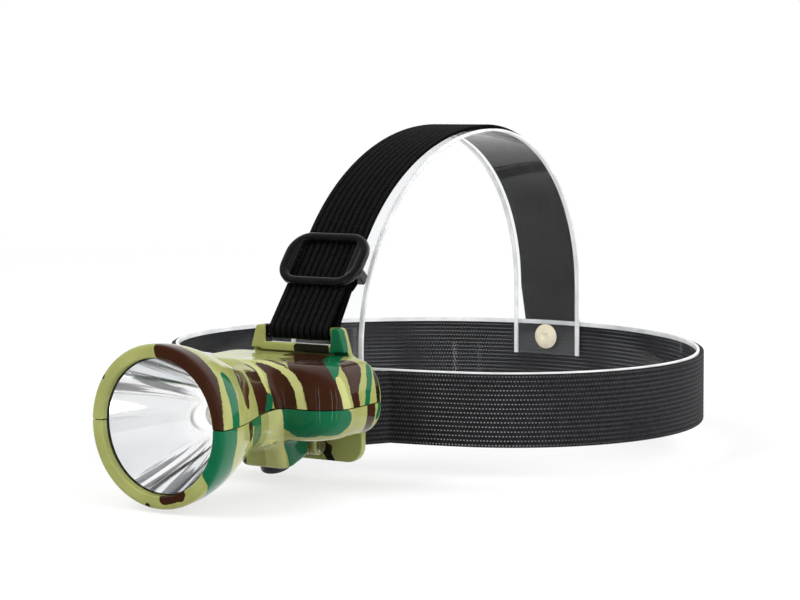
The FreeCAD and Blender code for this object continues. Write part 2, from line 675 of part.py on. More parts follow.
def housing_section(level, inset):
    """Plan of the housing at a share of its height: -1 at the bottom, 0 at the seam, 1 at the top."""
    shrink = 1.0 - math.sqrt(1.0 - abs(level) ** HOUSING_FULLNESS)
    above = level > 0
    reach = (HOUSING_HIGH_Z - SEAM_Z if above else SEAM_Z - HOUSING_LOW_Z) - inset
    bulge = (HOUSING_TOP_ROUND if above else HOUSING_LOW_ROUND) - inset
    front = HOUSING_FRONT_Y + inset + shrink * bulge
    rear = HOUSING_REAR_Y - inset - shrink * HOUSING_REAR_ROUND
    half = HOUSING_HALF_LENGTH - inset - shrink * (HOUSING_END_ROUND - inset)
    corners = [HOUSING_REAR_CORNER - inset] * 2 + [HOUSING_FRONT_CORNER - inset] * 2
    return rounded_outline(half, front, rear, corners, SEAM_Z + level * reach)


def housing_form(inset):
    """Cross housing, lofted through level sections so that ends and front bulge at the seam."""
    steps = HOUSING_SECTIONS - 1
    levels = [math.sin(math.pi * (step / steps - 0.5)) for step in range(HOUSING_SECTIONS)]
    return Part.makeLoft([housing_section(level, inset) for level in levels], True, False)


BOSS_NORMAL = V(0, math.sin(math.radians(BOSS_FACE_TILT)), -math.cos(math.radians(BOSS_FACE_TILT)))
BUTTON_CENTRE = V(0, BUTTON_Y, BUTTON_Z)


def boss_form(inset):
    """Switch boss: a tapered column cut off by the sloping face round the button."""
    corners = [BOSS_CORNER - inset] * 4
    half = BOSS_HALF_WIDTH - inset
    low = rounded_outline(half, BOSS_LOW_FRONT_Y + inset, BOSS_LOW_REAR_Y - inset, corners, BOSS_LOW_Z)
    high = rounded_outline(half, BOSS_TOP_FRONT_Y + inset, BOSS_TOP_REAR_Y - inset, corners, SEAM_Z)
    column = Part.makeLoft([low, high], True, True)
    reach = 3.0 * BOSS_HALF_WIDTH
    under = box(-reach, reach, -reach, reach, -reach, 0)
    under.rotate(V(0, 0, 0), V(1, 0, 0), BOSS_FACE_TILT)
    under.translate(BUTTON_CENTRE.sub(BOSS_NORMAL * inset))
    return column.cut(under)


CELL_Y = HOUSING_REAR_Y - CELL_REAR_ROOM - CELL_RADIUS
CELL_Z = (HOUSING_LOW_Z + HOUSING_HIGH_Z) / 2.0
CELL_LOW_X = SOCKET_X + SOCKET_RADIUS + CELL_SOCKET_GAP
CELL_HIGH_X = HOUSING_HALF_LENGTH - CELL_END_ROOM
CELL_X = (CELL_LOW_X + CELL_HIGH_X) / 2.0
SCREW_Y = HOUSING_REAR_Y - WALL - SCREW_POST_RADIUS
SCREW_HEAD_Z = HOUSING_LOW_Z
SEAT_FRONT_Y = RIM_FRONT_Y + LIP_THICK
SEAT_RADIUS = bell_radius(0.0) - WALL
LENS_FRONT_Y = SEAT_FRONT_Y + SEAL_THICK
LENS_REAR_Y = LENS_FRONT_Y + LENS_THICK
THROAT_Y = LENS_REAR_Y + REFLECTOR_DEPTH


def turned(profile):
    """Solid turned about the lamp's axis from (distance along Y, radius) corners."""
    face = polygon([V(0, y, BELL_AXIS_Z + radius) for y, radius in profile])
    return face.revolve(V(0, 0, BELL_AXIS_Z), V(0, 1, 0), 360)


def lamp_disc(radius, front_y, rear_y):
    """Disc on the lamp's axis."""
    return rod(radius, V(0, front_y, BELL_AXIS_Z), V(0, rear_y, BELL_AXIS_Z))


def hinge_ears():
    """Two ears that hang from the housing to the hinge pin."""
    ears = []
    for side in (1, -1):
        near, far = sorted((side * (HINGE_KNUCKLE_HALF + HINGE_SIDE_GAP), side * HINGE_REACH))
        eye = rod(HINGE_EYE_RADIUS, V(near, HINGE_Y, HINGE_Z), V(far, HINGE_Y, HINGE_Z))
        neck = box(near, far, HINGE_Y - HINGE_EYE_RADIUS, HINGE_Y + HINGE_EYE_RADIUS,
                   HINGE_Z, HOUSING_LOW_Z + HOUSING_LOW_ROUND)
        ears.append(eye.fuse(neck))
    return ears


def screw_posts():
    """Posts inside the rear corners that take the screws."""
    return [rod(SCREW_POST_RADIUS, V(side * SCREW_X, SCREW_Y, HOUSING_LOW_Z + WALL / 2.0),
                V(side * SCREW_X, SCREW_Y, HOUSING_HIGH_Z - WALL / 2.0)) for side in (1, -1)]


def cradle_ribs():
    """Ribs across the housing that hold the cell."""
    ribs = []
    for side in (1, -1):
        x = CELL_X + side * CRADLE_X
        rib = box(x - CRADLE_THICK / 2.0, x + CRADLE_THICK / 2.0,
                  CELL_Y - CELL_RADIUS - WALL, CELL_Y + CELL_RADIUS + WALL,
                  HOUSING_LOW_Z + WALL / 2.0, HOUSING_HIGH_Z - WALL / 2.0)
        ribs.append(rib)
    return ribs


def contact_fins():
    """Fins on the end walls that back the cell's contacts."""
    fins = []
    for contact, wall in ((CELL_HIGH_X + CONTACT_THICK + FACE_GAP, HOUSING_HALF_LENGTH - WALL / 2.0),
                          (WALL / 2.0 - HOUSING_HALF_LENGTH, CELL_LOW_X - CONTACT_THICK - FACE_GAP)):
        for side in (1, -1):
            y = CELL_Y + side * CONTACT_FIN_Y
            fins.append(box(contact, wall, y - CRADLE_THICK / 2.0, y + CRADLE_THICK / 2.0,
                            CELL_Z - CONTACT_HALF_HEIGHT, CELL_Z + CONTACT_HALF_HEIGHT))
    return fins


def casing():
    """Whole lamp casing before it is split at the seam."""
    outer = joined([bell_form(0), housing_form(0), boss_form(0)] + hinge_ears())
    cavity = joined([bell_form(WALL), housing_form(WALL), boss_form(BOSS_WALL)])
    shell = outer.cut(cavity)
    held = [piece.common(cavity) for piece in screw_posts() + cradle_ribs()]
    shell = shell.multiFuse(held)
    fins = [piece.common(cavity) for piece in contact_fins()]
    opening = lamp_disc(RIM_OPENING_RADIUS, RIM_FRONT_Y - 1, SEAT_FRONT_Y + 1)
    cell_room = rod(CELL_RADIUS + CELL_FIT, V(-HOUSING_HALF_LENGTH + WALL + 1, CELL_Y, CELL_Z),
                    V(HOUSING_HALF_LENGTH - WALL - 1, CELL_Y, CELL_Z))
    cell_room = cell_room.common(cavity)
    button_hole = rod(BUTTON_RADIUS + BUTTON_FIT, BUTTON_CENTRE.sub(BOSS_NORMAL * (2 * WALL)),
                      BUTTON_CENTRE.add(BOSS_NORMAL * WALL))
    pin_hole = cross_rod(HINGE_PIN_RADIUS + HINGE_FIT, HINGE_REACH + 1, HINGE_Y, HINGE_Z)
    socket_hole = rod(SOCKET_RADIUS + FACE_GAP, V(SOCKET_X, HOUSING_REAR_Y + 1, CELL_Z),
                      V(SOCKET_X, HOUSING_REAR_Y - SOCKET_DEPTH - SOFT_GAP, CELL_Z))
    cutters = [opening, cell_room, button_hole, pin_hole, socket_hole] + [
        piece for side in (1, -1) for piece in screw_space(side)]
    return shell.cut(Part.makeCompound(cutters)).multiFuse(fins)


def screw_space(side):
    """Room for one screw and its head."""
    x = side * SCREW_X
    return [rod(SCREW_RADIUS + SCREW_FIT, V(x, SCREW_Y, SCREW_HEAD_Z),
                V(x, SCREW_Y, SCREW_HEAD_Z + SCREW_LENGTH)),
            rod(SCREW_HEAD_RADIUS + SCREW_FIT, V(x, SCREW_Y, SCREW_HEAD_Z - 1),
                V(x, SCREW_Y, SCREW_HEAD_Z + SCREW_HEAD_HEIGHT))]


def shell_screws():
    """Two screws that close the shells from below."""
    screws = []
    for side in (1, -1):
        x = side * SCREW_X
        shank = rod(SCREW_RADIUS, V(x, SCREW_Y, SCREW_HEAD_Z),
                    V(x, SCREW_Y, SCREW_HEAD_Z + SCREW_LENGTH - SCREW_FIT))
        head = rod(SCREW_HEAD_RADIUS, V(x, SCREW_Y, SCREW_HEAD_Z + SCREW_FIT),
                   V(x, SCREW_Y, SCREW_HEAD_Z + SCREW_HEAD_HEIGHT))
        screws.append(joined([shank, head]))
    return Part.makeCompound(screws)


def shells():
    """Upper and lower shell, split at the seam."""
    whole = casing()
    above = box(-BEYOND, BEYOND, -BEYOND, BEYOND, SEAM_Z + SEAM_GAP / 2.0, BEYOND)
    below = box(-BEYOND, BEYOND, -BEYOND, BEYOND, -BEYOND, SEAM_Z - SEAM_GAP / 2.0)
    return whole.common(above), whole.common(below)


# Optics


def lens_seal():
    """Rubber ring between the lip and the lens."""
    inner = RIM_OPENING_RADIUS - SEAL_SHOW
    return turned([(SEAT_FRONT_Y, inner), (SEAT_FRONT_Y, SEAT_RADIUS - LENS_FIT),
                   (LENS_FRONT_Y, SEAT_RADIUS - LENS_FIT), (LENS_FRONT_Y, inner)])


def front_lens():
    """Clear flat lens."""
    return lamp_disc(SEAT_RADIUS - LENS_FIT, LENS_FRONT_Y, LENS_REAR_Y)


def reflector_curve(offset):
    """Cup profile from the mouth to the throat, moved outwards by the wall."""
    opening = REFLECTOR_MOUTH_RADIUS - REFLECTOR_THROAT_RADIUS
    points = []
    for step in range(REFLECTOR_STEPS + 1):
        open_share = 1.0 - step / REFLECTOR_STEPS
        radius = REFLECTOR_THROAT_RADIUS + opening * open_share
        depth = REFLECTOR_DEPTH * (1.0 - open_share ** REFLECTOR_POWER)
        points.append(V(0, LENS_REAR_Y + depth, BELL_AXIS_Z + radius + offset))
    curve = Part.BSplineCurve()
    curve.interpolate(points)
    return curve.toShape(), points[0], points[-1]


def reflector():
    """Mirrored cup with a flange under the lens."""
    inner, mouth_in, throat_in = reflector_curve(0)
    outer, mouth_out, throat_out = reflector_curve(REFLECTOR_WALL)
    cup = Part.Face(Part.Wire(Part.__sortEdges__(
        [inner, outer, Part.makeLine(mouth_in, mouth_out), Part.makeLine(throat_in, throat_out)])))
    cup = cup.revolve(V(0, 0, BELL_AXIS_Z), V(0, 1, 0), 360)
    flange = turned([(LENS_REAR_Y, REFLECTOR_MOUTH_RADIUS), (LENS_REAR_Y, SEAT_RADIUS - LENS_FIT),
                     (LENS_REAR_Y + REFLECTOR_WALL, SEAT_RADIUS - LENS_FIT),
                     (LENS_REAR_Y + REFLECTOR_WALL, REFLECTOR_MOUTH_RADIUS)])
    return joined([cup, flange])


def led_emitter():
    """Lamp chip: a round base on the board and a clear dome in the throat."""
    base = lamp_disc(LED_RADIUS + LED_BASE / 2.0, THROAT_Y - LED_BASE, THROAT_Y)
    dome = Part.makeSphere(LED_RADIUS, V(0, THROAT_Y - LED_BASE, BELL_AXIS_Z))
    front = lamp_disc(LED_RADIUS + 1, THROAT_Y - LED_BASE - LED_RADIUS, THROAT_Y - LED_BASE)
    return joined([base, dome.common(front)])


SINK_FRONT_Y = THROAT_Y + BOARD_THICK
SINK_REAR_Y = SINK_FRONT_Y + SINK_THICK


def led_board():
    """Round aluminium board behind the throat."""
    return lamp_disc(BOARD_RADIUS, THROAT_Y, SINK_FRONT_Y)


def heat_sink():
    """Round sink with slots across its back."""
    sink = lamp_disc(SINK_RADIUS, SINK_FRONT_Y, SINK_REAR_Y)
    pitch = 2.0 * SINK_RADIUS / (SINK_SLOTS + 1)
    slots = []
    for index in range(SINK_SLOTS):
        x = (index - (SINK_SLOTS - 1) / 2.0) * pitch
        slots.append(box(x - SINK_SLOT_WIDTH / 2.0, x + SINK_SLOT_WIDTH / 2.0,
                         SINK_FRONT_Y + SINK_THICK / 2.0, SINK_REAR_Y,
                         BELL_AXIS_Z - SINK_RADIUS, BELL_AXIS_Z + SINK_RADIUS))
    return sink.cut(Part.makeCompound(slots))


def driver_board():
    """Round circuit board on the back of the sink, with a coil and a chip."""
    rear = SINK_REAR_Y + DRIVER_THICK
    board = lamp_disc(BOARD_RADIUS, SINK_REAR_Y, rear)
    coil = rod(BOARD_RADIUS / 3.0, V(0, rear, BELL_AXIS_Z + BOARD_RADIUS / 2.0),
               V(0, rear + 2.0 * DRIVER_THICK, BELL_AXIS_Z + BOARD_RADIUS / 2.0))
    chip = box(-BOARD_RADIUS / 3.0, BOARD_RADIUS / 3.0, rear, rear + DRIVER_THICK,
               BELL_AXIS_Z - BOARD_RADIUS / 2.0, BELL_AXIS_Z - BOARD_RADIUS / 8.0)
    return joined([board, coil, chip])


# Cell, contacts and charging socket


def battery_cell():
    """Round cell across the housing, with its raised end."""
    body = rod(CELL_RADIUS, V(CELL_LOW_X, CELL_Y, CELL_Z), V(CELL_HIGH_X - CONTACT_THICK, CELL_Y, CELL_Z))
    cap = rod(CELL_RADIUS / 3.0, V(CELL_HIGH_X - CONTACT_THICK, CELL_Y, CELL_Z),
              V(CELL_HIGH_X, CELL_Y, CELL_Z))
    return joined([body, cap])


def cell_contact(x):
    """Nickel strip on one end of the cell."""
    return box(x, x + CONTACT_THICK, CELL_Y - CONTACT_WIDTH / 2.0, CELL_Y + CONTACT_WIDTH / 2.0,
               CELL_Z - CONTACT_HALF_HEIGHT, CELL_Z + CONTACT_HALF_HEIGHT)


def charge_socket():
    """Round charging socket in the back wall, beside the cell's end."""
    mouth = V(SOCKET_X, HOUSING_REAR_Y, CELL_Z)
    bottom = V(SOCKET_X, HOUSING_REAR_Y - SOCKET_DEPTH, CELL_Z)
    socket = rod(SOCKET_RADIUS, bottom, mouth)
    floor = V(SOCKET_X, HOUSING_REAR_Y - SOCKET_DEPTH + SOCKET_RADIUS / 2.0, CELL_Z)
    socket = socket.cut(rod(SOCKET_BORE_RADIUS, floor, mouth))
    pin = rod(SOCKET_PIN_RADIUS, bottom, V(SOCKET_X, HOUSING_REAR_Y - SOCKET_RADIUS / 2.0, CELL_Z))
    return joined([socket, pin])


# Switch, drawn upright and turned to stand on the sloping face


def on_boss_face(shape):
    """Place a shape whose local Z points into the boss."""
    shape.rotate(V(0, 0, 0), V(1, 0, 0), BOSS_FACE_TILT)
    shape.translate(BUTTON_CENTRE)
    return shape


def switch_button():
    """Round push button with a retaining wing on each side behind the wall."""
    stem_top = BOSS_WALL + SOFT_GAP + BUTTON_WING_THICK
    stem = Part.makeCylinder(BUTTON_RADIUS, BUTTON_RISE + stem_top, V(0, 0, -BUTTON_RISE))
    rim = [edge for edge in stem.Edges if edge.BoundBox.ZMax < -BUTTON_RISE + FACE_GAP]
    stem = stem.makeFillet(BUTTON_RISE / 3.0, rim)
    wings = box(-BUTTON_WING_REACH, BUTTON_WING_REACH, -BUTTON_RADIUS / 2.0, BUTTON_RADIUS / 2.0,
                stem_top - BUTTON_WING_THICK, stem_top)
    return on_boss_face(joined([stem, wings]))


SWITCH_PLATE_HEIGHT = BOSS_WALL + SOFT_GAP + BUTTON_WING_THICK + BUTTON_TRAVEL + SOFT_GAP


def switch_body():
    """Switch on its plate, which spans the boss above the button."""
    half = BOSS_HALF_WIDTH - BOSS_WALL - FACE_GAP
    top = SWITCH_PLATE_HEIGHT + SWITCH_PLATE_THICK
    plate = box(-half, half, -SWITCH_WIDTH / 2.0, SWITCH_WIDTH / 2.0, SWITCH_PLATE_HEIGHT, top)
    block = box(-SWITCH_WIDTH / 2.0, SWITCH_WIDTH / 2.0, -SWITCH_WIDTH / 2.0, SWITCH_WIDTH / 2.0,
                top, top + SWITCH_HEIGHT)
    return on_boss_face(joined([plate, block]))


# Output

os.makedirs("parts", exist_ok=True)
upper_shell, lower_shell = shells()
nodes = {
    "former_band": former_band(),
    "former_arch": former_arch(),
    "former_rivets": rivet_parts(0),
    "headband": headband(),
    "overhead_strap": stand_up(strap_face(), WEB_WIDTH),
    "strap_return": strap_return(),
    "strap_end_loop": strap_end_loop(),
    "strap_slider": strap_slider(),
    "back_plate": back_plate(),
    "hinge_pin": hinge_pin(),
    "upper_shell": upper_shell,
    "lower_shell": lower_shell,
    "shell_screws": shell_screws(),
    "lens_seal": lens_seal(),
    "front_lens": front_lens(),
    "reflector": reflector(),
    "led_emitter": led_emitter(),
    "led_board": led_board(),
    "heat_sink": heat_sink(),
    "driver_board": driver_board(),
    "battery_cell": battery_cell(),
    "positive_contact": cell_contact(CELL_HIGH_X),
    "negative_contact": cell_contact(CELL_LOW_X - CONTACT_THICK),
    "charge_socket": charge_socket(),
    "switch_body": switch_body(),
    "switch_button": switch_button(),
}
for name, shape in nodes.items():
    save(shape, name)
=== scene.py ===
"""Dressed model of a camouflage head torch on an elastic harness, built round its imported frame."""
import logging
import math
import random
from dataclasses import dataclass
from enum import Enum
from typing import Callable, Sequence

import bpy
import numpy as np
from mathutils import Matrix, Vector


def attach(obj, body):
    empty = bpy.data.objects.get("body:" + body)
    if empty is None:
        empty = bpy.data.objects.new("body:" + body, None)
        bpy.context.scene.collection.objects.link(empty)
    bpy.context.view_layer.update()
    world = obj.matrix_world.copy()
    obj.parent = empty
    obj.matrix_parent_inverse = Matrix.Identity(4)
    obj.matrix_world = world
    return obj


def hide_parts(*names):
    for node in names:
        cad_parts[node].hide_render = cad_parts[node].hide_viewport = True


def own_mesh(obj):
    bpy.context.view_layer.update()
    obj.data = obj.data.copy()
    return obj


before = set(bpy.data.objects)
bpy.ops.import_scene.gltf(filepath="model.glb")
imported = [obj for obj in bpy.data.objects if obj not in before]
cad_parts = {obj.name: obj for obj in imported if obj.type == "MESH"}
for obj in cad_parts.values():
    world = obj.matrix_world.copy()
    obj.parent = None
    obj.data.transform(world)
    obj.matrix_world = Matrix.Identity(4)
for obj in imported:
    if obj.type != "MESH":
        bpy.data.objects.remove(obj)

LOG = logging.getLogger("head_torch")
MM = 0.001
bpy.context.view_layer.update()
LAMP_AXIS_Z = 16.2

Array = np.ndarray
Piece = bpy.types.Object
Material = bpy.types.Material
Socket = bpy.types.NodeSocket
Colour = tuple[float, float, float]
Span = tuple[float, float]
Place = tuple[float, float, float]


class Body(str, Enum):
    """Bodies that the pieces ride on."""

    HARNESS = "harness"
    LAMP = "lamp"
    BUTTON = "button"
    SLIDER = "slider"


class Ink(str, Enum):
    """Inks of the print over its khaki ground, in the order in which they are laid; a few marks also carry
    painted shade, one a painted highlight, and the dark ink fills the seam groove as painted shade.
    """

    BROWN = "brown"
    GREEN = "green"
    DARK = "dark"
    STRAW = "straw"

    @property
    def layer(self) -> str:
        """Name of the mesh attribute that holds the ink's distances."""
        return "camo_" + self.value


class Combine(str, Enum):
    """Ways to combine a piece with a closed tool."""

    TAKE_AWAY = "DIFFERENCE"
    KEEP_COMMON = "INTERSECT"


# Mesh helpers, in millimetres

CREASE = 40.0
SKEW = (0.31, 0.17, 0.93)
THINNEST = 1e-4
ACROSS_X = np.array((1.0, 0.0, 0.0))
BACK = np.array((0.0, 1.0, 0.0))
UP = np.array((0.0, 0.0, 1.0))


def vec(*values: float) -> Array:
    """Point or direction as an array."""
    return np.array(values, float)


def unit(direction: Array) -> Array:
    """Direction of length one."""
    return direction / np.linalg.norm(direction)


def mesh_object(name: str, points: Array, faces: Sequence, crease_deg: float = CREASE) -> Piece:
    """Mesh from points in millimetres, smooth up to an angle.

    Args:
        name: Name of the new piece.
        points: Corner positions, one row each.
        faces: Lists of corner indices.
        crease_deg: Edges that turn more than this stay sharp.

    Returns:
        The new object, linked to the scene.
    """
    mesh = bpy.data.meshes.new(name)
    mesh.from_pydata((np.asarray(points) * MM).tolist(), [], [list(map(int, face)) for face in faces])
    mesh.validate()
    piece = bpy.data.objects.new(name, mesh)
    bpy.context.scene.collection.objects.link(piece)
    smooth(piece, crease_deg)
    return piece


def smooth(piece: Piece, crease_deg: float = CREASE) -> None:
    """Shade a piece smooth, with sharp edges above an angle."""
    piece.data.shade_smooth()
    piece.data.set_sharp_from_angle(angle=math.radians(crease_deg))


def applied(piece: Piece) -> Piece:
    """Turn a piece's modifiers into its mesh.

    Args:
        piece: The piece.

    Returns:
        The same piece, without modifiers.
    """
    graph = bpy.context.evaluated_depsgraph_get()
    result = bpy.data.meshes.new_from_object(piece.evaluated_get(graph))
    piece.modifiers.clear()
    piece.data = result
    return piece


def points_of(piece: Piece) -> Array:
    """Read a piece's corners.

    Args:
        piece: The piece.

    Returns:
        Positions in millimetres, one row each.
    """
    flat = np.empty(len(piece.data.vertices) * 3)
    piece.data.vertices.foreach_get("co", flat)
    return flat.reshape(-1, 3) / MM


def place_points(piece: Piece, points: Array) -> None:
    """Move a piece's corners to positions in millimetres."""
    piece.data.vertices.foreach_set("co", (points * MM).ravel())
    piece.data.update()


def cut(piece: Piece, tool: Piece, way: Combine = Combine.TAKE_AWAY) -> Piece:
    """Combine a piece with a tool, which is used up.

    Args:
        piece: The piece that changes.
        tool: The closed mesh.
        way: Whether the tool's room is taken away, or only that is kept.

    Returns:
        The changed piece.
    """
    modifier = piece.modifiers.new("cut", "BOOLEAN")
    modifier.operation = way.value
    modifier.solver = "MANIFOLD"
    modifier.object = tool
    applied(piece)
    bpy.data.objects.remove(tool)
    return piece


def joined(name: str, pieces: Sequence[Piece]) -> Piece:
    """Put several pieces into one object, without merging their walls.

    Args:
        name: Name of the joined object.
        pieces: The pieces, which are used up.

    Returns:
        The joined object.
    """
    with bpy.context.temp_override(active_object=pieces[0], selected_editable_objects=list(pieces)):
        bpy.ops.object.join()
    pieces[0].name = name
    return pieces[0]


def outward(piece: Piece) -> Piece:
    """Turn a closed piece's faces outwards.

    Args:
        piece: The closed piece.

    Returns:
        The same piece, with a positive volume.
    """
    mesh = piece.data
    mesh.calc_loop_triangles()
    corners = np.empty(len(mesh.loop_triangles) * 3, np.int32)
    mesh.loop_triangles.foreach_get("vertices", corners)
    sides = points_of(piece)[corners].reshape(-1, 3, 3)
    if np.einsum("ij,ij->", sides[:, 0], np.cross(sides[:, 1], sides[:, 2])) < 0.0:
        mesh.flip_normals()
    return piece


def loft(name: str, loops: Sequence[Array], closed: bool = False,
         crease_deg: float = CREASE) -> Piece:
    """Skin between loops that all have the same number of points.

    Args:
        name: Name of the new piece.
        loops: Loops of points, in order.
        closed: Whether the last loop runs into the first; otherwise both ends are capped.
        crease_deg: Edges that turn more than this stay sharp.

    Returns:
        The new closed piece.
    """
    count, around = len(loops), len(loops[0])
    faces = []
    for row in range(count if closed else count - 1):
        here, there = row * around, (row + 1) % count * around
        for step in range(around):
            after = (step + 1) % around
            faces.append((here + step, here + after, there + after, there + step))
    if not closed:
        faces.append(list(range(around))[::-1])
        faces.append([(count - 1) * around + step for step in range(around)])
    return outward(mesh_object(name, np.vstack(loops), faces, crease_deg))


def box_mesh(name: str, low: Sequence[float], high: Sequence[float]) -> Piece:
    """Closed block between two corners.

    Args:
        name: Name of the new piece.
        low: Lowest corner.
        high: Highest corner.

    Returns:
        The block.
    """
    plan = ((low[0], low[1]), (high[0], low[1]), (high[0], high[1]), (low[0], high[1]))
    return loft(name, [np.array([(x, y, z) for x, y in plan]) for z in (low[2], high[2])])


def block_at(name: str, low: Sequence[float], high: Sequence[float], centre: Array, up: Array,
             out: Array) -> Piece:
    """Closed block in a frame of its own.

    Args:
        name: Name of the new piece.
        low: Lowest corner, as (across, up, out).
        high: Highest corner, as (across, up, out).
        centre: Origin of the frame.
        up: Direction of its second axis; the first is X.
        out: Direction of its third axis.

    Returns:
        The block.
    """
    block = box_mesh(name, low, high)
    place_points(block, centre + points_of(block) @ np.array((ACROSS_X, up, out)))
    return block


def square_to(axis: Array) -> tuple[Array, Array]:
    """Two directions square to an axis and to each other.

    Args:
        axis: Direction of length one.

    Returns:
        Both directions.
    """
    side = unit(np.cross(axis, vec(*SKEW)))
    return side, np.cross(axis, side)


def turned(name: str, profile: Sequence[tuple[float, float]], centre: Array, axis: Array,
           steps: int = 96, crease_deg: float = 30.0) -> Piece:
    """Closed piece turned about an axis.

    Args:
        name: Name of the new piece.
        profile: Corners as (distance along the axis, radius).
        centre: Point on the axis that the distances are counted from.
        axis: Direction of the axis.
        steps: Divisions of the turn.
        crease_deg: Edges that turn more than this stay sharp.

    Returns:
        The new piece.
    """
    axis = unit(axis)
    side, other = square_to(axis)
    turn = np.linspace(0.0, math.tau, steps, endpoint=False)
    ring = np.outer(np.cos(turn), side) + np.outer(np.sin(turn), other)
    loops = [centre + axis * along + ring * max(radius, THINNEST) for along, radius in profile]
    return loft(name, loops, crease_deg=crease_deg)


def cylinder(name: str, start: Array, end: Array, radius: float, steps: int = 48) -> Piece:
    """Closed round bar between two points."""
    length = float(np.linalg.norm(end - start))
    return turned(name, [(0.0, radius), (length, radius)], start, end - start, steps)


def tube_ring(name: str, profile: Sequence[tuple[float, float]], centre: Array, axis: Array,
              steps: int = 128, crease_deg: float = 30.0) -> Piece:
    """Closed ring turned about an axis.

    Args:
        name: Name of the new piece.
        profile: Closed profile, as (distance along the axis, radius) corners.
        centre: Point on the axis that the distances are counted from.
        axis: Direction of the axis.
        steps: Divisions of the turn.
        crease_deg: Edges that turn more than this stay sharp.

    Returns:
        The ring.
    """
    axis = unit(axis)
    side, other = square_to(axis)
    loops = []
    for turn in np.linspace(0.0, math.tau, steps, endpoint=False):
        outwards = side * math.cos(turn) + other * math.sin(turn)
        loops.append(np.array([centre + axis * along + outwards * radius for along, radius in profile]))
    return loft(name, loops, closed=True, crease_deg=crease_deg)


def rounded_rectangle(half: float, low: float, high: float, corners: tuple[float, float],
                      steps: int = 10) -> Array:
    """Plan outline with a radius for the two high corners and one for the two low corners.

    Args:
        half: Half the width along X.
        low: Lower limit along Y.
        high: Upper limit along Y.
        corners: Radius at the high side and at the low side.
        steps: Divisions of each corner.

    Returns:
        Points (x, y) anticlockwise, from the +X +Y corner.
    """
    points = []
    for turn in range(4):
        radius = corners[0] if turn < 2 else corners[1]
        x = (half - radius) * (1 if turn in (0, 3) else -1)
        y = high - radius if turn < 2 else low + radius
        for step in range(steps + 1):
            angle = math.radians(90 * turn + 90 * step / steps)
            points.append((x + radius * math.cos(angle), y + radius * math.sin(angle)))
    return np.array(points)


def smooth_min(first: Array, second: Array, reach: float) -> Array:
    """Lesser of two distances, rounded where they are close.

    Args:
        first: One distance at each point.
        second: The other distance at each point.
        reach: How close they have to be for the rounding.

    Returns:
        The rounded lesser distance.
    """
    blend = np.maximum(reach - np.abs(first - second), 0.0) / reach
    return np.minimum(first, second) - blend * blend * reach / 4.0


# Node trees

NOISE_LOW = 0.3
NOISE_HIGH = 0.7


class NodeTree:
    """Adds nodes to the tree of a material or of the world."""

    def __init__(self, tree: bpy.types.NodeTree) -> None:
        """Start from the nodes that the tree has."""
        self.nodes = tree.nodes
        self.links = tree.links

    def node(self, kind: str, inputs: dict | None = None, **settings: object) -> bpy.types.Node:
        """Add a node.

        Args:
            kind: Node type without the ShaderNode prefix.
            inputs: Socket values or links, by socket name or index.
            settings: Attributes of the node.

        Returns:
            The new node.
        """
        made = self.nodes.new("ShaderNode" + kind)
        for key, value in settings.items():
            setattr(made, key, value)
        for key, value in (inputs or {}).items():
            self.feed(made.inputs[key], value)
        return made

    def feed(self, socket: Socket, value: object) -> None:
        """Set a socket to a value, or link another socket to it.

        Args:
            socket: The socket.
            value: A number, a colour, a vector, or the socket to link.
        """
        if isinstance(value, Socket):
            self.links.new(value, socket)
        elif isinstance(value, tuple) and socket.type == "RGBA" and len(value) == 3:
            socket.default_value = (*value, 1.0)
        else:
            socket.default_value = value

    def math(self, operation: str, *values: object) -> Socket:
        """Result of a maths node."""
        return self.node("Math", dict(enumerate(values)), operation=operation).outputs[0]

    def product(self, first: object, *others: object) -> Socket:
        """Product of values.

        Args:
            first: The first value.
            others: The values that it is multiplied by.

        Returns:
            The product.
        """
        for other in others:
            first = self.math("MULTIPLY", first, other)
        return first

    def vector(self, operation: str, inputs: dict) -> Socket:
        """Vector that a vector maths node gives."""
        return self.node("VectorMath", inputs, operation=operation).outputs["Vector"]

    def measure(self, operation: str, *vectors: object) -> Socket:
        """Number that a vector maths node gives."""
        return self.node("VectorMath", dict(enumerate(vectors)), operation=operation).outputs["Value"]

    def parts(self, vector: object) -> Sequence[Socket]:
        """X, Y and Z of a vector."""
        return self.node("SeparateXYZ", {0: vector}).outputs

    def ramp(self, value: object, low: float, high: float, to_low: float = 0.0,
             to_high: float = 1.0) -> Socket:
        """Smooth step of a value between two limits.

        Args:
            value: The value.
            low: Where the step starts.
            high: Where the step ends.
            to_low: Result below the step.
            to_high: Result above the step.

        Returns:
            The result.
        """
        limits = {"Value": value, "From Min": low, "From Max": high, "To Min": to_low, "To Max": to_high}
        return self.node("MapRange", limits, interpolation_type="SMOOTHSTEP").outputs["Result"]

    def place(self) -> Socket:
        """Position in the object's own frame."""
        return self.node("TexCoord").outputs["Object"]

    def noise(self, scale: float, detail: float = 2.0, where: object = None) -> Socket:
        """Noise value at a scale per metre."""
        made = self.node("TexNoise", {"Vector": where or self.place(), "Scale": scale, "Detail": detail})
        return made.outputs["Fac"]

    def spread(self, value: object, to_low: float = 0.0, to_high: float = 1.0) -> Socket:
        """Smooth step over the middle of a noise's range."""
        return self.ramp(value, NOISE_LOW, NOISE_HIGH, to_low, to_high)


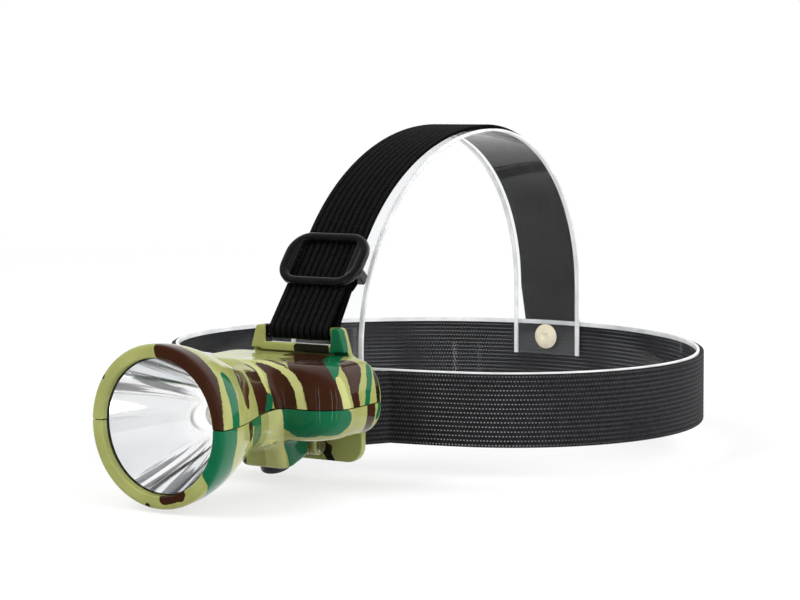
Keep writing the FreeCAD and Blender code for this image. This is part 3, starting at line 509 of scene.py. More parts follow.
class Shader(NodeTree):
    """Builds one node material."""

    def __init__(self, name: str) -> None:
        """Start a material with a Principled surface.

        Args:
            name: Name of the material.
        """
        self.material = bpy.data.materials.new(name)
        self.material.use_nodes = True
        super().__init__(self.material.node_tree)
        self.surface = self.nodes["Principled BSDF"]

    def set(self, **values: object) -> "Shader":
        """Set sockets of the surface.

        Args:
            values: Values or links by socket name, with underscores for spaces.

        Returns:
            The shader itself.
        """
        for key, value in values.items():
            self.feed(self.surface.inputs[key.replace("_", " ")], value)
        return self

    def mix(self, share: object, first: object, second: object) -> Socket:
        """Mixture of two colours."""
        made = self.node("Mix", {0: share, 6: first, 7: second}, data_type="RGBA")
        return made.outputs[2]

    def bump(self, height: object, strength: float, distance: float) -> "Shader":
        """Give the surface a relief, with the distance in millimetres."""
        made = self.node("Bump", {"Height": height, "Strength": strength, "Distance": distance * MM})
        return self.set(Normal=made.outputs["Normal"])


# Finishes

WHITE = (1.0, 1.0, 1.0)


def shade(colour: Colour, share: float) -> Colour:
    """Colour times a share."""
    return tuple(share * value for value in colour)


@dataclass(frozen=True)
class MouldedPlastic:
    """Plain moulded plastic, with a fine orange-peel skin. Scales are per metre."""

    name: str
    colour: Colour
    roughness: float = 0.3
    grain: float = 0.04
    coat: float = 0.0
    sheen: float = 0.5
    coat_roughness: float = 0.06
    clouds: float = 140.0
    wipes: float = 420.0
    pores: float = 1500.0
    pore_depth: float = 0.05
    darkest: float = 0.82
    rough_span: Span = (0.85, 1.2)

    def build(self) -> Material:
        """Make the material.

        Returns:
            The material.
        """
        shader = Shader(self.name)
        tone = shader.spread(shader.noise(self.clouds, 4.0))
        low, high = self.rough_span
        rough = shader.spread(shader.noise(self.wipes, 3.0), low * self.roughness, high * self.roughness)
        colour = shader.mix(tone, shade(self.colour, self.darkest), self.colour)
        shader.set(Base_Color=colour, Roughness=rough, Specular_IOR_Level=self.sheen, Coat_Weight=self.coat,
                   Coat_Roughness=self.coat_roughness)
        return shader.bump(shader.noise(self.pores), self.grain, self.pore_depth).material


@dataclass(frozen=True)
class TurnedMetal:
    """Bare or plated metal with fine tool marks. Scales are per metre."""

    name: str
    colour: Colour
    roughness: float = 0.25
    marks: float = 0.1
    mark_scale: float = 2600.0
    mark_depth: float = 0.02
    wear_scale: float = 300.0
    wear: Span = (0.35, 0.75)
    worn: float = 0.8
    rough_span: Span = (0.8, 1.3)

    def build(self) -> Material:
        """Make the material.

        Returns:
            The material.
        """
        shader = Shader(self.name)
        marks = shader.noise(self.mark_scale, 3.0)
        low, high = self.rough_span
        rough = shader.spread(marks, low * self.roughness, high * self.roughness)
        wear = shader.ramp(shader.noise(self.wear_scale, 4.0), *self.wear)
        shader.set(Base_Color=shader.mix(wear, shade(self.colour, self.worn), self.colour), Metallic=1.0,
                   Roughness=rough)
        return shader.bump(marks, self.marks, self.mark_depth).material


@dataclass(frozen=True)
class CamoPlastic:
    """Glossy moulded plastic with a woodland print; the mesh holds the distance inside each ink's marks."""

    name: str = "camo_plastic"
    khaki: Colour = (0.295, 0.310, 0.104)
    straw: Colour = (0.420, 0.430, 0.170)
    green: Colour = (0.006, 0.105, 0.044)
    brown: Colour = (0.034, 0.012, 0.0062)
    dark: Colour = (0.010, 0.010, 0.006)
    edge: float = 0.12
    ragged: float = 0.25
    ragged_scale: float = 900.0
    tone_scale: float = 90.0
    tone_noise: Span = (0.25, 0.75)
    tone: Span = (0.88, 1.06)
    roughness: float = 0.2
    sheen: float = 0.03
    coat: float = 0.4
    coat_roughness: float = 0.04
    peel_scale: float = 700.0
    peel: float = 0.03
    peel_depth: float = 0.06

    def build(self) -> Material:
        """Make the material.

        Returns:
            The material.
        """
        shader = Shader(self.name)
        ragged = shader.ramp(shader.noise(self.ragged_scale), 0.0, 1.0, -self.ragged, self.ragged)
        colour: object = self.khaki
        for ink in Ink:
            distance = shader.node("Attribute", attribute_name=ink.layer).outputs["Fac"]
            inside = shader.ramp(shader.math("ADD", distance, ragged), -self.edge, self.edge)
            colour = shader.mix(inside, colour, getattr(self, ink.value))
        tone = shader.ramp(shader.noise(self.tone_scale, 3.0), *self.tone_noise, *self.tone)
        shader.set(Base_Color=shader.vector("SCALE", {0: colour, "Scale": tone}), Roughness=self.roughness,
                   Specular_IOR_Level=self.sheen, Coat_Weight=self.coat, Coat_Roughness=self.coat_roughness)
        return shader.bump(shader.noise(self.peel_scale), self.peel, self.peel_depth).material


@dataclass(frozen=True)
class ElasticWebbing:
    """Ribbed black elastic, with painted shade in the rib grooves; the UV map holds millimetres along and
    across the strap.
    """

    name: str
    rows: int
    fleck_share: float = 0.0
    ridge: Colour = (0.0066, 0.0066, 0.007)
    # the darker colour of the rib grooves is painted shade
    groove: Colour = (0.0014, 0.0014, 0.0015)
    # the pale colour here carries painted sheen as well as the threads' own colour
    fleck: Colour = (0.42, 0.42, 0.44)
    width: float = 25.0
    pitch: float = 1.15
    stagger: float = 0.47
    thread: float = 0.62
    sheen: float = 0.15
    roughness: float = 0.75
    ridge_span: Span = (0.22, 0.46)
    worn_noise: Span = (0.3, 0.75)
    worn: Span = (0.7, 1.35)
    fleck_across: Span = (0.05, 0.14)
    fleck_along: Span = (0.10, 0.24)
    plain_front: Span = (34.0, 46.0)
    plain_back_y: float = 10.0
    plain_share: float = 0.25
    patch_noise: Span = (0.36, 0.62)
    patch_share: float = 0.15
    side_span: Span = (60.0, 90.0)
    side_share: float = 0.2
    thread_span: Span = (0.1, 0.5)
    fuzz: float = 0.6
    relief: float = 0.5
    relief_depth: float = 0.12

    @staticmethod
    def off_middle(shader: Shader, turns: object) -> Socket:
        """Distance from the middle of each repeat, 0 to one half."""
        return shader.math("ABSOLUTE", shader.math("SUBTRACT", shader.math("FRACT", turns), 0.5))

    def flecks(self, shader: Shader, row: object, stitch: object) -> Socket:
        """Pale flecks on the ridges, partly the threads' own colour and partly painted sheen, fewer in the
        middle of the front and at the sides where the painted sheen is weaker.

        Args:
            shader: The shader.
            row: Distance from the middle of a row.
            stitch: Distance from the middle of a stitch.

        Returns:
            Share of the fleck colour.
        """
        x, y, _ = shader.parts(shader.place())
        side = shader.math("ABSOLUTE", x)
        front = shader.ramp(side, *(limit * MM for limit in self.plain_front), self.plain_share, 1.0)
        behind = shader.ramp(y, -self.plain_back_y * MM, self.plain_back_y * MM)
        patches = shader.ramp(shader.noise(32.0), *self.patch_noise, self.patch_share, 1.0)
        beside = shader.ramp(side, *(limit * MM for limit in self.side_span), 1.0, self.side_share)
        return shader.product(shader.ramp(row, *self.fleck_across, 1.0, 0.0),
                              shader.ramp(stitch, *self.fleck_along, 1.0, 0.0), patches, beside,
                              shader.math("MAXIMUM", behind, front), self.fleck_share)

    def build(self) -> Material:
        """Make the material.

        Returns:
            The material.
        """
        shader = Shader(self.name)
        along, across, _ = shader.parts(shader.node("UVMap", uv_map="cloth").outputs[0])
        row = shader.math("MULTIPLY", across, self.rows / self.width)
        in_row = self.off_middle(shader, row)
        shift = shader.math("MULTIPLY", shader.math("FLOOR", row), self.stagger)
        stitch = shader.math("ADD", shader.math("DIVIDE", along, self.pitch), shift)
        thread = self.off_middle(shader, shader.math("MULTIPLY", along, 1.0 / self.thread))
        worn = shader.ramp(shader.noise(800.0, 3.0), *self.worn_noise, *self.worn)
        # painted shade: the grooves between the ribs take the darker colour
        ribbed = shader.mix(shader.ramp(in_row, *self.ridge_span), self.ridge, self.groove)
        colour = shader.vector("SCALE", {0: ribbed, "Scale": worn})
        if self.fleck_share:
            # painted sheen: pale flecks mixed in, fading by place on the band
            dots = self.flecks(shader, in_row, self.off_middle(shader, stitch))
            colour = shader.mix(dots, colour, self.fleck)
        shader.set(Base_Color=colour, Roughness=self.roughness, Specular_IOR_Level=self.sheen)
        fuzz = shader.math("MULTIPLY", shader.noise(2200.0), self.fuzz)
        height = shader.math("ADD", shader.ramp(thread, *self.thread_span), fuzz)
        return shader.bump(height, self.relief, self.relief_depth).material


@dataclass(frozen=True)
class ClearSheet:
    """Clear plastic sheet with soft handling marks."""

    name: str
    tint: Colour = (0.965, 0.975, 0.985)
    roughness: float = 0.02
    index: float = 1.2
    haze: float = 0.003
    mark_noise: Span = (0.45, 0.8)
    mark_rise: float = 4.0

    def build(self) -> Material:
        """Make the material.

        Returns:
            The material.
        """
        shader = Shader(self.name)
        rough = (self.roughness, self.mark_rise * self.roughness)
        marks = shader.ramp(shader.noise(60.0, 4.0), *self.mark_noise, *rough)
        shader.set(Base_Color=self.tint, Roughness=marks, Transmission_Weight=1.0 - self.haze, IOR=self.index)
        return shader.material


@dataclass(frozen=True)
class CutEdge:
    """Bright, slightly frosted cut edge of a clear sheet."""

    name: str = "clear_cut_edge"
    tint: Colour = (0.92, 0.93, 0.94)
    dim: float = 0.8
    roughness: float = 0.25
    clear: float = 0.3
    grain: float = 0.1
    grain_depth: float = 0.05

    def build(self) -> Material:
        """Make the material.

        Returns:
            The material.
        """
        shader = Shader(self.name)
        streak = shader.spread(shader.noise(120.0, 3.0))
        tint = shader.mix(streak, shade(self.tint, self.dim), self.tint)
        shader.set(Base_Color=tint, Roughness=self.roughness, Transmission_Weight=self.clear)
        return shader.bump(shader.noise(900.0), self.grain, self.grain_depth).material


@dataclass(frozen=True)
class MirrorCup:
    """Vacuum-metallised cup with painted reflections: grey streaks towards the centre in two sectors, a
    lighter tone there and near the centre with painted shade elsewhere, and a white collar with a painted
    glow.
    """

    name: str = "mirror_cup"
    # the lighter tone near the centre and within the sectors is painted highlight; the shaded tone below is
    # painted shade
    bright: Colour = (0.99, 0.99, 0.99)
    shaded: Colour = (0.90, 0.91, 0.92)
    # grey of the painted reflection streaks
    streak: Colour = (0.30, 0.305, 0.315)
    streak_count: float = 5.5
    streak_noise: Span = (0.55, 0.60)
    twist: float = 22.0
    sectors: tuple[Span, ...] = ((148.0, 34.0), (-100.0, 32.0))
    sector_core: float = 0.6
    calm: Span = (9.0, 13.0)
    collar: Span = (5.6, 10.5)
    # strength of the white collar's painted glow
    painted_collar_glow: float = 0.45
    roughness: Span = (0.04, 0.10)
    ripple: float = 0.12
    ripple_depth: float = 0.2

    def within_sectors(self, shader: Shader, spoke: object) -> Socket:
        """Share of the painted reflection streaks in each direction.

        Args:
            shader: The shader.
            spoke: Direction away from the lamp's axis.

        Returns:
            1 in the middle of a sector and 0 outside all of them.
        """
        reach: object = 0.0
        for middle, half in self.sectors:
            turn = math.radians(middle)
            facing = shader.measure("DOT_PRODUCT", spoke, (math.cos(turn), 0.0, math.sin(turn)))
            limits = (math.cos(math.radians(half)), math.cos(math.radians(self.sector_core * half)))
            reach = shader.math("MAXIMUM", reach, shader.ramp(facing, *limits))
        return reach

    def build(self) -> Material:
        """Make the material.

        Returns:
            The material.
        """
        shader = Shader(self.name)
        x, y, z = shader.parts(shader.place())
        height = shader.math("SUBTRACT", z, LAMP_AXIS_Z * MM)
        radius = shader.node("CombineXYZ", {0: x, 2: height}).outputs[0]
        length = shader.measure("LENGTH", radius)
        away = shader.ramp(length, *(limit * MM for limit in self.calm))
        metal = shader.ramp(length, *(limit * MM for limit in self.collar))
        spoke = shader.vector("NORMALIZE", {0: radius})
        around = shader.vector("SCALE", {0: spoke, "Scale": self.streak_count})
        down = shader.node("CombineXYZ", {1: shader.math("MULTIPLY", y, self.twist)}).outputs[0]
        wave = shader.noise(1.0, 2.5, shader.vector("ADD", {0: around, 1: down}))
        reach = self.within_sectors(shader, spoke)
        # painted reflection: grey streaks within the two sectors, mixed into the base colour
        streaks = shader.product(shader.ramp(wave, *self.streak_noise), reach, away)
        # painted highlight and painted shade: the lighter tone near the centre and in the sectors, the shaded
        # tone elsewhere
        calm = shader.math("MULTIPLY", away, shader.math("SUBTRACT", 1.0, reach))
        base = shader.mix(calm, self.bright, self.shaded)
        # painted glow: the non-metal collar round the chip emits white, though it is no lamp
        glow = shader.math("MULTIPLY", shader.math("SUBTRACT", 1.0, metal), self.painted_collar_glow)
        shader.set(Base_Color=shader.mix(streaks, base, self.streak), Metallic=metal, Emission_Color=WHITE,
                   Emission_Strength=glow, Roughness=shader.spread(wave, *self.roughness))
        return shader.bump(wave, self.ripple, self.ripple_depth).material


@dataclass(frozen=True)
class GlowChip:
    """Yellow lamp chip under clear resin."""

    name: str = "lamp_chip"
    amber: Colour = (0.86, 0.80, 0.55)
    cream: Colour = (0.95, 0.92, 0.75)
    roughness: float = 0.12
    coat_roughness: float = 0.02

    def build(self) -> Material:
        """Make the material.

        Returns:
            The material.
        """
        shader = Shader(self.name)
        tone = shader.mix(shader.noise(700.0), self.amber, self.cream)
        shader.set(Base_Color=tone, Roughness=self.roughness, Coat_Weight=1.0,
                   Coat_Roughness=self.coat_roughness)
        return shader.material


class Finishes:
    """All finishes, made once."""

    def __init__(self) -> None:
        """Build every material."""
        self.camo = CamoPlastic().build()
        self.gloss_black = MouldedPlastic("gloss_black_plastic", (0.006, 0.006, 0.0065), roughness=0.22,
                                          grain=0.05, coat=0.4, sheen=0.15).build()
        self.matt_black = MouldedPlastic("matt_black_plastic", (0.016, 0.016, 0.017), roughness=0.45).build()
        self.rubber = MouldedPlastic("seal_rubber", (0.008, 0.008, 0.008), roughness=0.6, grain=0.08).build()
        self.ivory = MouldedPlastic("ivory_plastic", (0.72, 0.66, 0.50), grain=0.06, coat=0.2).build()
        self.white = MouldedPlastic("white_solder_mask", (0.80, 0.80, 0.78), roughness=0.35).build()
        self.sleeve = MouldedPlastic("cell_sleeve", (0.02, 0.10, 0.30), roughness=0.25).build()
        self.circuit = MouldedPlastic("circuit_green", (0.01, 0.10, 0.03), roughness=0.35).build()
        self.steel = TurnedMetal("bright_steel", (0.62, 0.62, 0.64)).build()
        self.nickel = TurnedMetal("nickel_strip", (0.68, 0.66, 0.60), roughness=0.3).build()
        self.aluminium = TurnedMetal("cast_aluminium", (0.72, 0.73, 0.75), roughness=0.35, marks=0.2).build()
        self.mirror = MirrorCup().build()
        self.chip = GlowChip().build()
        self.clear = ClearSheet("clear_band_sheet").build()
        self.clear_arch = ClearSheet("clear_arch_sheet", haze=0.017).build()
        self.cut_edge = CutEdge().build()
        self.lens = ClearSheet("clear_lens", (0.99, 0.99, 0.99), roughness=0.005, index=1.3, haze=0.0).build()
        self.band = ElasticWebbing("elastic_band", 16, fleck_share=0.85, ridge=(0.016, 0.016, 0.018),
                                   groove=(0.009, 0.009, 0.010)).build()
        self.strap = ElasticWebbing("elastic_strap", 10, sheen=0.03).build()


def dress(piece: Piece, material: Material) -> Piece:
    """Give a piece one material."""
    piece.data.materials.clear()
    piece.data.materials.append(material)
    return piece


def copied(source: Piece, name: str) -> Piece:
    """New piece with a copy of another one's mesh.

    Args:
        source: The piece to copy.
        name: Name of the new piece.

    Returns:
        The new piece, linked to the scene.
    """
    piece = bpy.data.objects.new(name, source.data.copy())
    bpy.context.scene.collection.objects.link(piece)
    return piece


def remeshed(piece: Piece, voxel: float) -> bpy.types.Modifier:
    """Melt a piece's walls into one skin of small squares.

    Args:
        piece: The piece.
        voxel: Size of the squares in millimetres.

    Returns:
        The modifier, not yet applied.
    """
    remesh = piece.modifiers.new("remesh", "REMESH")
    remesh.mode = "VOXEL"
    remesh.voxel_size = voxel * MM
    return remesh


def dress_node(node: str, material: Material, round_mm: float = 0.0) -> None:
    """Give a carried-over CAD node its finish, with softened edges where it has them.

    Args:
        node: Name of the node.
        material: Its finish.
        round_mm: Width of the rounding on its edges, or 0 for none.
    """
    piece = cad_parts[node]
    for place in piece.material_slots:
        place.material = material
    if round_mm:
        rounding = piece.modifiers.new("rounding", "BEVEL")
        rounding.width = round_mm * MM
        rounding.segments = 2
        rounding.limit_method = "ANGLE"
        rounding.angle_limit = math.radians(CREASE)
    LOG.info("node %s dressed", node)


def mount_piece(piece: Piece, body: Body, slot: str, *nodes: str) -> Piece:
    """Put a finished piece on its body.

    Args:
        piece: The piece.
        body: The body that it moves with.
        slot: The record's material slot; not used.
        nodes: CAD nodes that it stands for.

    Returns:
        The piece.
    """
    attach(piece, body.value)
    if nodes:
        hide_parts(*nodes)
    LOG.info("piece %s: %d faces", piece.name, len(piece.data.polygons))
    return piece


# Straps and strips


@dataclass
class Path:
    """Line that a strip follows, with the direction out of its outer face at each point."""

    points: Array
    outs: Array

    @staticmethod
    def through(points: Array, across: Array, side: float = -1.0) -> "Path":
        """Path with its outer side square to the line and to the strip's width.

        Args:
            points: Points along the line.
            across: Direction of the strip's width.
            side: 1 where the outer side is that of the width crossed with the line, or -1 for the other.

        Returns:
            The path.
        """
        outs = side * np.cross(across, np.gradient(points, axis=0))
        return Path(points, outs / np.linalg.norm(outs, axis=1)[:, None])

    def run(self) -> Array:
        """Distance along the line at each point."""
        steps = np.linalg.norm(np.diff(self.points, axis=0), axis=1)
        return np.concatenate([[0.0], np.cumsum(steps)])


@dataclass(frozen=True)
class Strip:
    """Cross-section of a strip: ribbed for webbing, plain for sheet."""

    width: float
    thick: float
    ribs: int = 0
    groove: float = 0.0
    edge: float = 0.4
    edge_share: float = 0.75
    edge_steps: int = 4
    samples: int = 6
    groove_power: float = 0.6
    border: float = 1.7

    def ribbed_face(self) -> list[tuple[float, float]]:
        """Outer face of webbing, with rounded edges.

        Returns:
            Points (across, out).
        """
        half_width, half = self.width / 2.0, self.thick / 2.0
        count = self.ribs * self.samples
        face = []
        for step in range(count + 1):
            share = step / count
            across = -half_width + self.width * share
            depth = self.groove * (1.0 - abs(math.sin(math.pi * self.ribs * share)) ** self.groove_power)
            from_edge = min(across + half_width, half_width - across)
            if from_edge < self.edge:
                fall = 1.0 - math.sqrt(1.0 - (1.0 - from_edge / self.edge) ** 2)
                depth += (half - depth) * fall * self.edge_share
            face.append((across, half - depth))
        return face

    def sheet_face(self) -> list[tuple[float, float]]:
        """Outer face of plain sheet and its round edge.

        Returns:
            Points (across, out).
        """
        half_width, half = self.width / 2.0, self.thick / 2.0
        flat, border = half_width - self.edge, half_width - self.border
        face = [(-flat, half), (-border, half), (border, half), (flat, half)]
        for step in range(1, self.edge_steps):
            angle = math.pi * step / self.edge_steps
            face.append((flat + self.edge * math.sin(angle), half * math.cos(angle)))
        return face

    def outline(self) -> Array:
        """Closed loop of (across, out) points, outer face first."""
        face = self.ribbed_face() if self.ribs else self.sheet_face()
        return np.array(face + [(-across, -out) for across, out in face])

    def sweep(self, name: str, path: Path, across: Array, closed: bool = False) -> Piece:
        """Strip along a path.

        Args:
            name: Name of the new piece.
            path: The line to follow.
            across: Direction of the strip's width.
            closed: Whether the path runs into itself.

        Returns:
            The new piece, with its UV map in millimetres along and across.
        """
        outline = self.outline()
        loops = [point + np.outer(outline[:, 0], across) + np.outer(outline[:, 1], out)
                 for point, out in zip(path.points, path.outs)]
        piece = loft(name, loops, closed=closed, crease_deg=60.0)
        run = path.run()
        around = len(outline)
        cloth = piece.data.uv_layers.new(name="cloth")
        corner = np.empty(len(piece.data.loops), int)
        piece.data.loops.foreach_get("vertex_index", corner)
        values = np.column_stack([run[corner // around], outline[corner % around, 0] + self.width / 2.0])
        cloth.data.foreach_set("uv", values.ravel())
        return piece


PITCH = 1.2
FEWEST_ARC_STEPS = 8
FEWEST_LINE_STEPS = 2


def arc(centre: Array, radius: float, start: float, end: float, pitch: float = PITCH) -> Array:
    """Plan or profile arc as 2-D points.

    Args:
        centre: Centre of the arc.
        radius: Its radius.
        start: First angle in radians.
        end: Last angle in radians.
        pitch: Greatest distance between points.

    Returns:
        Points from start to end.
    """
    count = max(int(abs(end - start) * radius / pitch), FEWEST_ARC_STEPS)
    turn = np.linspace(start, end, count + 1)
    return np.column_stack([centre[0] + radius * np.cos(turn), centre[1] + radius * np.sin(turn)])


def line(start: Array, end: Array) -> Array:
    """Straight run as 2-D points."""
    count = max(int(np.linalg.norm(end - start) / PITCH), FEWEST_LINE_STEPS)
    return start + np.outer(np.linspace(0.0, 1.0, count + 1), end - start)


def chained(runs: Sequence[Array]) -> Array:
    """Runs end to end, without their shared points."""
    return np.vstack([runs[0], *(run[1:] for run in runs[1:])])


def tangent_turn(start: Array, centre: Array, radius: float, way: int) -> tuple[Array, float]:
    """Point where a straight line from a start meets a round bar.

    Args:
        start: Where the line comes from.
        centre: Centre of the bar.
        radius: Distance of the line from the centre.
        way: 1 to go round anticlockwise after the point, -1 for clockwise.

    Returns:
        The point, and its angle about the centre.
    """
    back = start - centre
    reach = float(np.linalg.norm(back))
    angle = math.atan2(back[1], back[0]) + way * math.acos(min(radius / reach, 1.0))
    return centre + radius * vec(math.cos(angle), math.sin(angle)), angle


@dataclass(frozen=True)
class HeadRing:
    """Plan of the former and the headband: a front arc, two side arcs and a back arc."""

    half_width: float = 102.2
    side_radius: float = 66.8
    side_y: float = -11.2
    front_y: float = -82.6
    back_y: float = 82.6

    @property
    def side_x(self) -> float:
        """How far the side arcs' centres are from the middle."""
        return self.half_width - self.side_radius

    def end_arc(self, reach: float) -> tuple[float, float, float]:
        """Front or back arc that runs into both side arcs.

        Args:
            reach: Distance from the side arcs' centres to the end of the ring.

        Returns:
            Its radius, its centre's offset and half its angle.
        """
        short = self.side_radius - reach
        radius = self.side_radius - (short ** 2 + self.side_x ** 2) / (2.0 * short)
        return radius, radius - reach, math.atan2(self.side_x, radius - reach)

    def run(self, offset: float, start_x: float = 0.0) -> Array:
        """Ring at an offset, from the right of the front round the back to the left of the front.

        Args:
            offset: Distance outside the middle of the former's wall.
            start_x: How far from the middle of the front the run starts and ends.

        Returns:
            Plan points.
        """
        quarter = math.pi / 2.0
        front_radius, front_shift, front_angle = self.end_arc(self.side_y - self.front_y)
        back_radius, back_shift, back_angle = self.end_arc(self.back_y - self.side_y)
        front = vec(0.0, self.side_y + front_shift)
        back = vec(0.0, self.side_y - back_shift)
        gap = math.asin(start_x / (front_radius + offset))
        side = self.side_radius + offset
        return chained([
            arc(front, front_radius + offset, -quarter + gap, -quarter + front_angle),
            arc(vec(self.side_x, self.side_y), side, -quarter + front_angle, quarter - back_angle),
            arc(back, back_radius + offset, quarter - back_angle, quarter + back_angle),
            arc(vec(-self.side_x, self.side_y), side, quarter + back_angle, 3.0 * quarter - front_angle),
            arc(front, front_radius + offset, -quarter - front_angle, -quarter - gap),
        ])


@dataclass(frozen=True)
class ArchLine:
    """Side view of the arch over the head: quarter ellipses on straight legs."""

    top_z: float = 105.0
    top_y: float = 10.0
    front_y: float = -81.01
    back_y: float = 80.45
    front_spring_z: float = 30.0
    back_spring_z: float = 40.0
    points: int = 90

    def quarter(self, side: int, offset: float, slack: float, start: float, end: float) -> Array:
        """Part of one quarter ellipse as (y, z) points.

        Args:
            side: 1 for the back quarter, -1 for the front.
            offset: Distance outside the middle of the arch's wall.
            slack: How far the front quarter is drawn out.
            start: First angle in degrees from level.
            end: Last angle in degrees from level.

        Returns:
            Points from start to end.
        """
        spring = self.back_spring_z if side > 0 else self.front_spring_z
        reach = (self.back_y - self.top_y if side > 0 else self.top_y - self.front_y + slack) + offset
        rise = self.top_z - spring + offset
        turn = np.radians(np.linspace(start, end, self.points))
        return np.column_stack([self.top_y + side * reach * np.cos(turn), spring + rise * np.sin(turn)])


def stand(profile: Array) -> Array:
    """Side profile (y, z) as points in the middle plane."""
    return np.column_stack([np.zeros(len(profile)), profile])


def lay_flat(plan: Array, z: float) -> Array:
    """Plan (x, y) as points in space."""
    return np.column_stack([plan, np.full(len(plan), z)])


@dataclass(frozen=True)
class Former:
    """Clear display former: head ring, arch and the two rivets that join them."""

    finishes: Finishes
    ring: HeadRing = HeadRing()
    arch: ArchLine = ArchLine()
    thick: float = 1.0
    low_z: float = 0.5
    high_z: float = 25.5
    arch_width: float = 30.0
    foot_z: float = 11.6
    rivet_z: float = 19.0
    edge: float = 0.2
    broad_share: float = 0.3
    rivet_rise: float = 1.5
    rivet_dome: tuple[Span, ...] = ((0.72, 0.0), (0.74, 0.9), (1.0, 1.6), (0.93, 2.6), (0.70, 3.8),
                                    (0.35, 4.7))
    rivet_brim: tuple[Span, ...] = ((-0.15, 5.0), (0.0, 4.9))
    rivet_shank: float = 1.8
    rivet_flare: Span = (0.8, 2.6)

    def build(self) -> None:
        """Make the former."""
        band = self.ring.run(0.0)[:-1]
        path = Path.through(lay_flat(band, (self.low_z + self.high_z) / 2.0), UP)
        hoop = Strip(self.high_z - self.low_z, self.thick, edge=self.edge)
        piece = hoop.sweep("clear_band", path, UP, closed=True)
        self.clothe(piece, self.finishes.clear, self.finishes.cut_edge)
        mount_piece(piece, Body.HARNESS, "clear_plastic", "former_band")
        legs = chained([
            line(vec(self.arch.back_y, self.foot_z), vec(self.arch.back_y, self.arch.back_spring_z)),
            self.arch.quarter(1, 0.0, 0.0, 0.0, 90.0),
            self.arch.quarter(-1, 0.0, 0.0, 90.0, 0.0),
            line(vec(self.arch.front_y, self.arch.front_spring_z), vec(self.arch.front_y, self.foot_z)),
        ])
        path = Path.through(stand(legs), ACROSS_X)
        piece = Strip(self.arch_width, self.thick, edge=self.edge).sweep("clear_arch", path, ACROSS_X)
        self.clothe(piece, self.finishes.clear_arch, self.finishes.cut_edge)
        mount_piece(piece, Body.HARNESS, "clear_plastic", "former_arch")
        self.rivets()

    def clothe(self, piece: Piece, sheet: Material, frosted: Material) -> None:
        """Dress a plain strip, clear in the middle and frosted along its edges.

        Args:
            piece: The strip.
            sheet: Finish of its broad faces.
            frosted: Finish of its borders.
        """
        dress(piece, sheet).data.materials.append(frosted)
        areas = np.empty(len(piece.data.polygons))
        piece.data.polygons.foreach_get("area", areas)
        narrow = areas <= areas.max() * self.broad_share
        piece.data.polygons.foreach_set("material_index", narrow.astype(np.int32))

    def rivets(self) -> None:
        """Make the domed rivets, with a dimple each and their heads on the inside."""
        half = self.thick / 2.0
        flare_depth, flare_radius = self.rivet_flare
        pieces = []
        for side, inner, outer in ((-1.0, self.arch.front_y, self.ring.front_y),
                                   (1.0, self.arch.back_y, self.ring.back_y)):
            wall = inner - side * half
            length = abs(outer + side * half - wall)
            head = [(-self.rivet_rise * share, radius) for share, radius in self.rivet_dome]
            shank = [(0.0, self.rivet_shank), (length - flare_depth, self.rivet_shank),
                     (length, flare_radius), (length, 0.0)]
            pieces.append(turned("rivet", [*head, *self.rivet_brim, *shank], vec(0.0, wall, self.rivet_z),
                                 side * BACK, 48))
        piece = dress(joined("rivets", pieces), self.finishes.ivory)
        mount_piece(piece, Body.HARNESS, "rivet_plastic", "former_rivets")


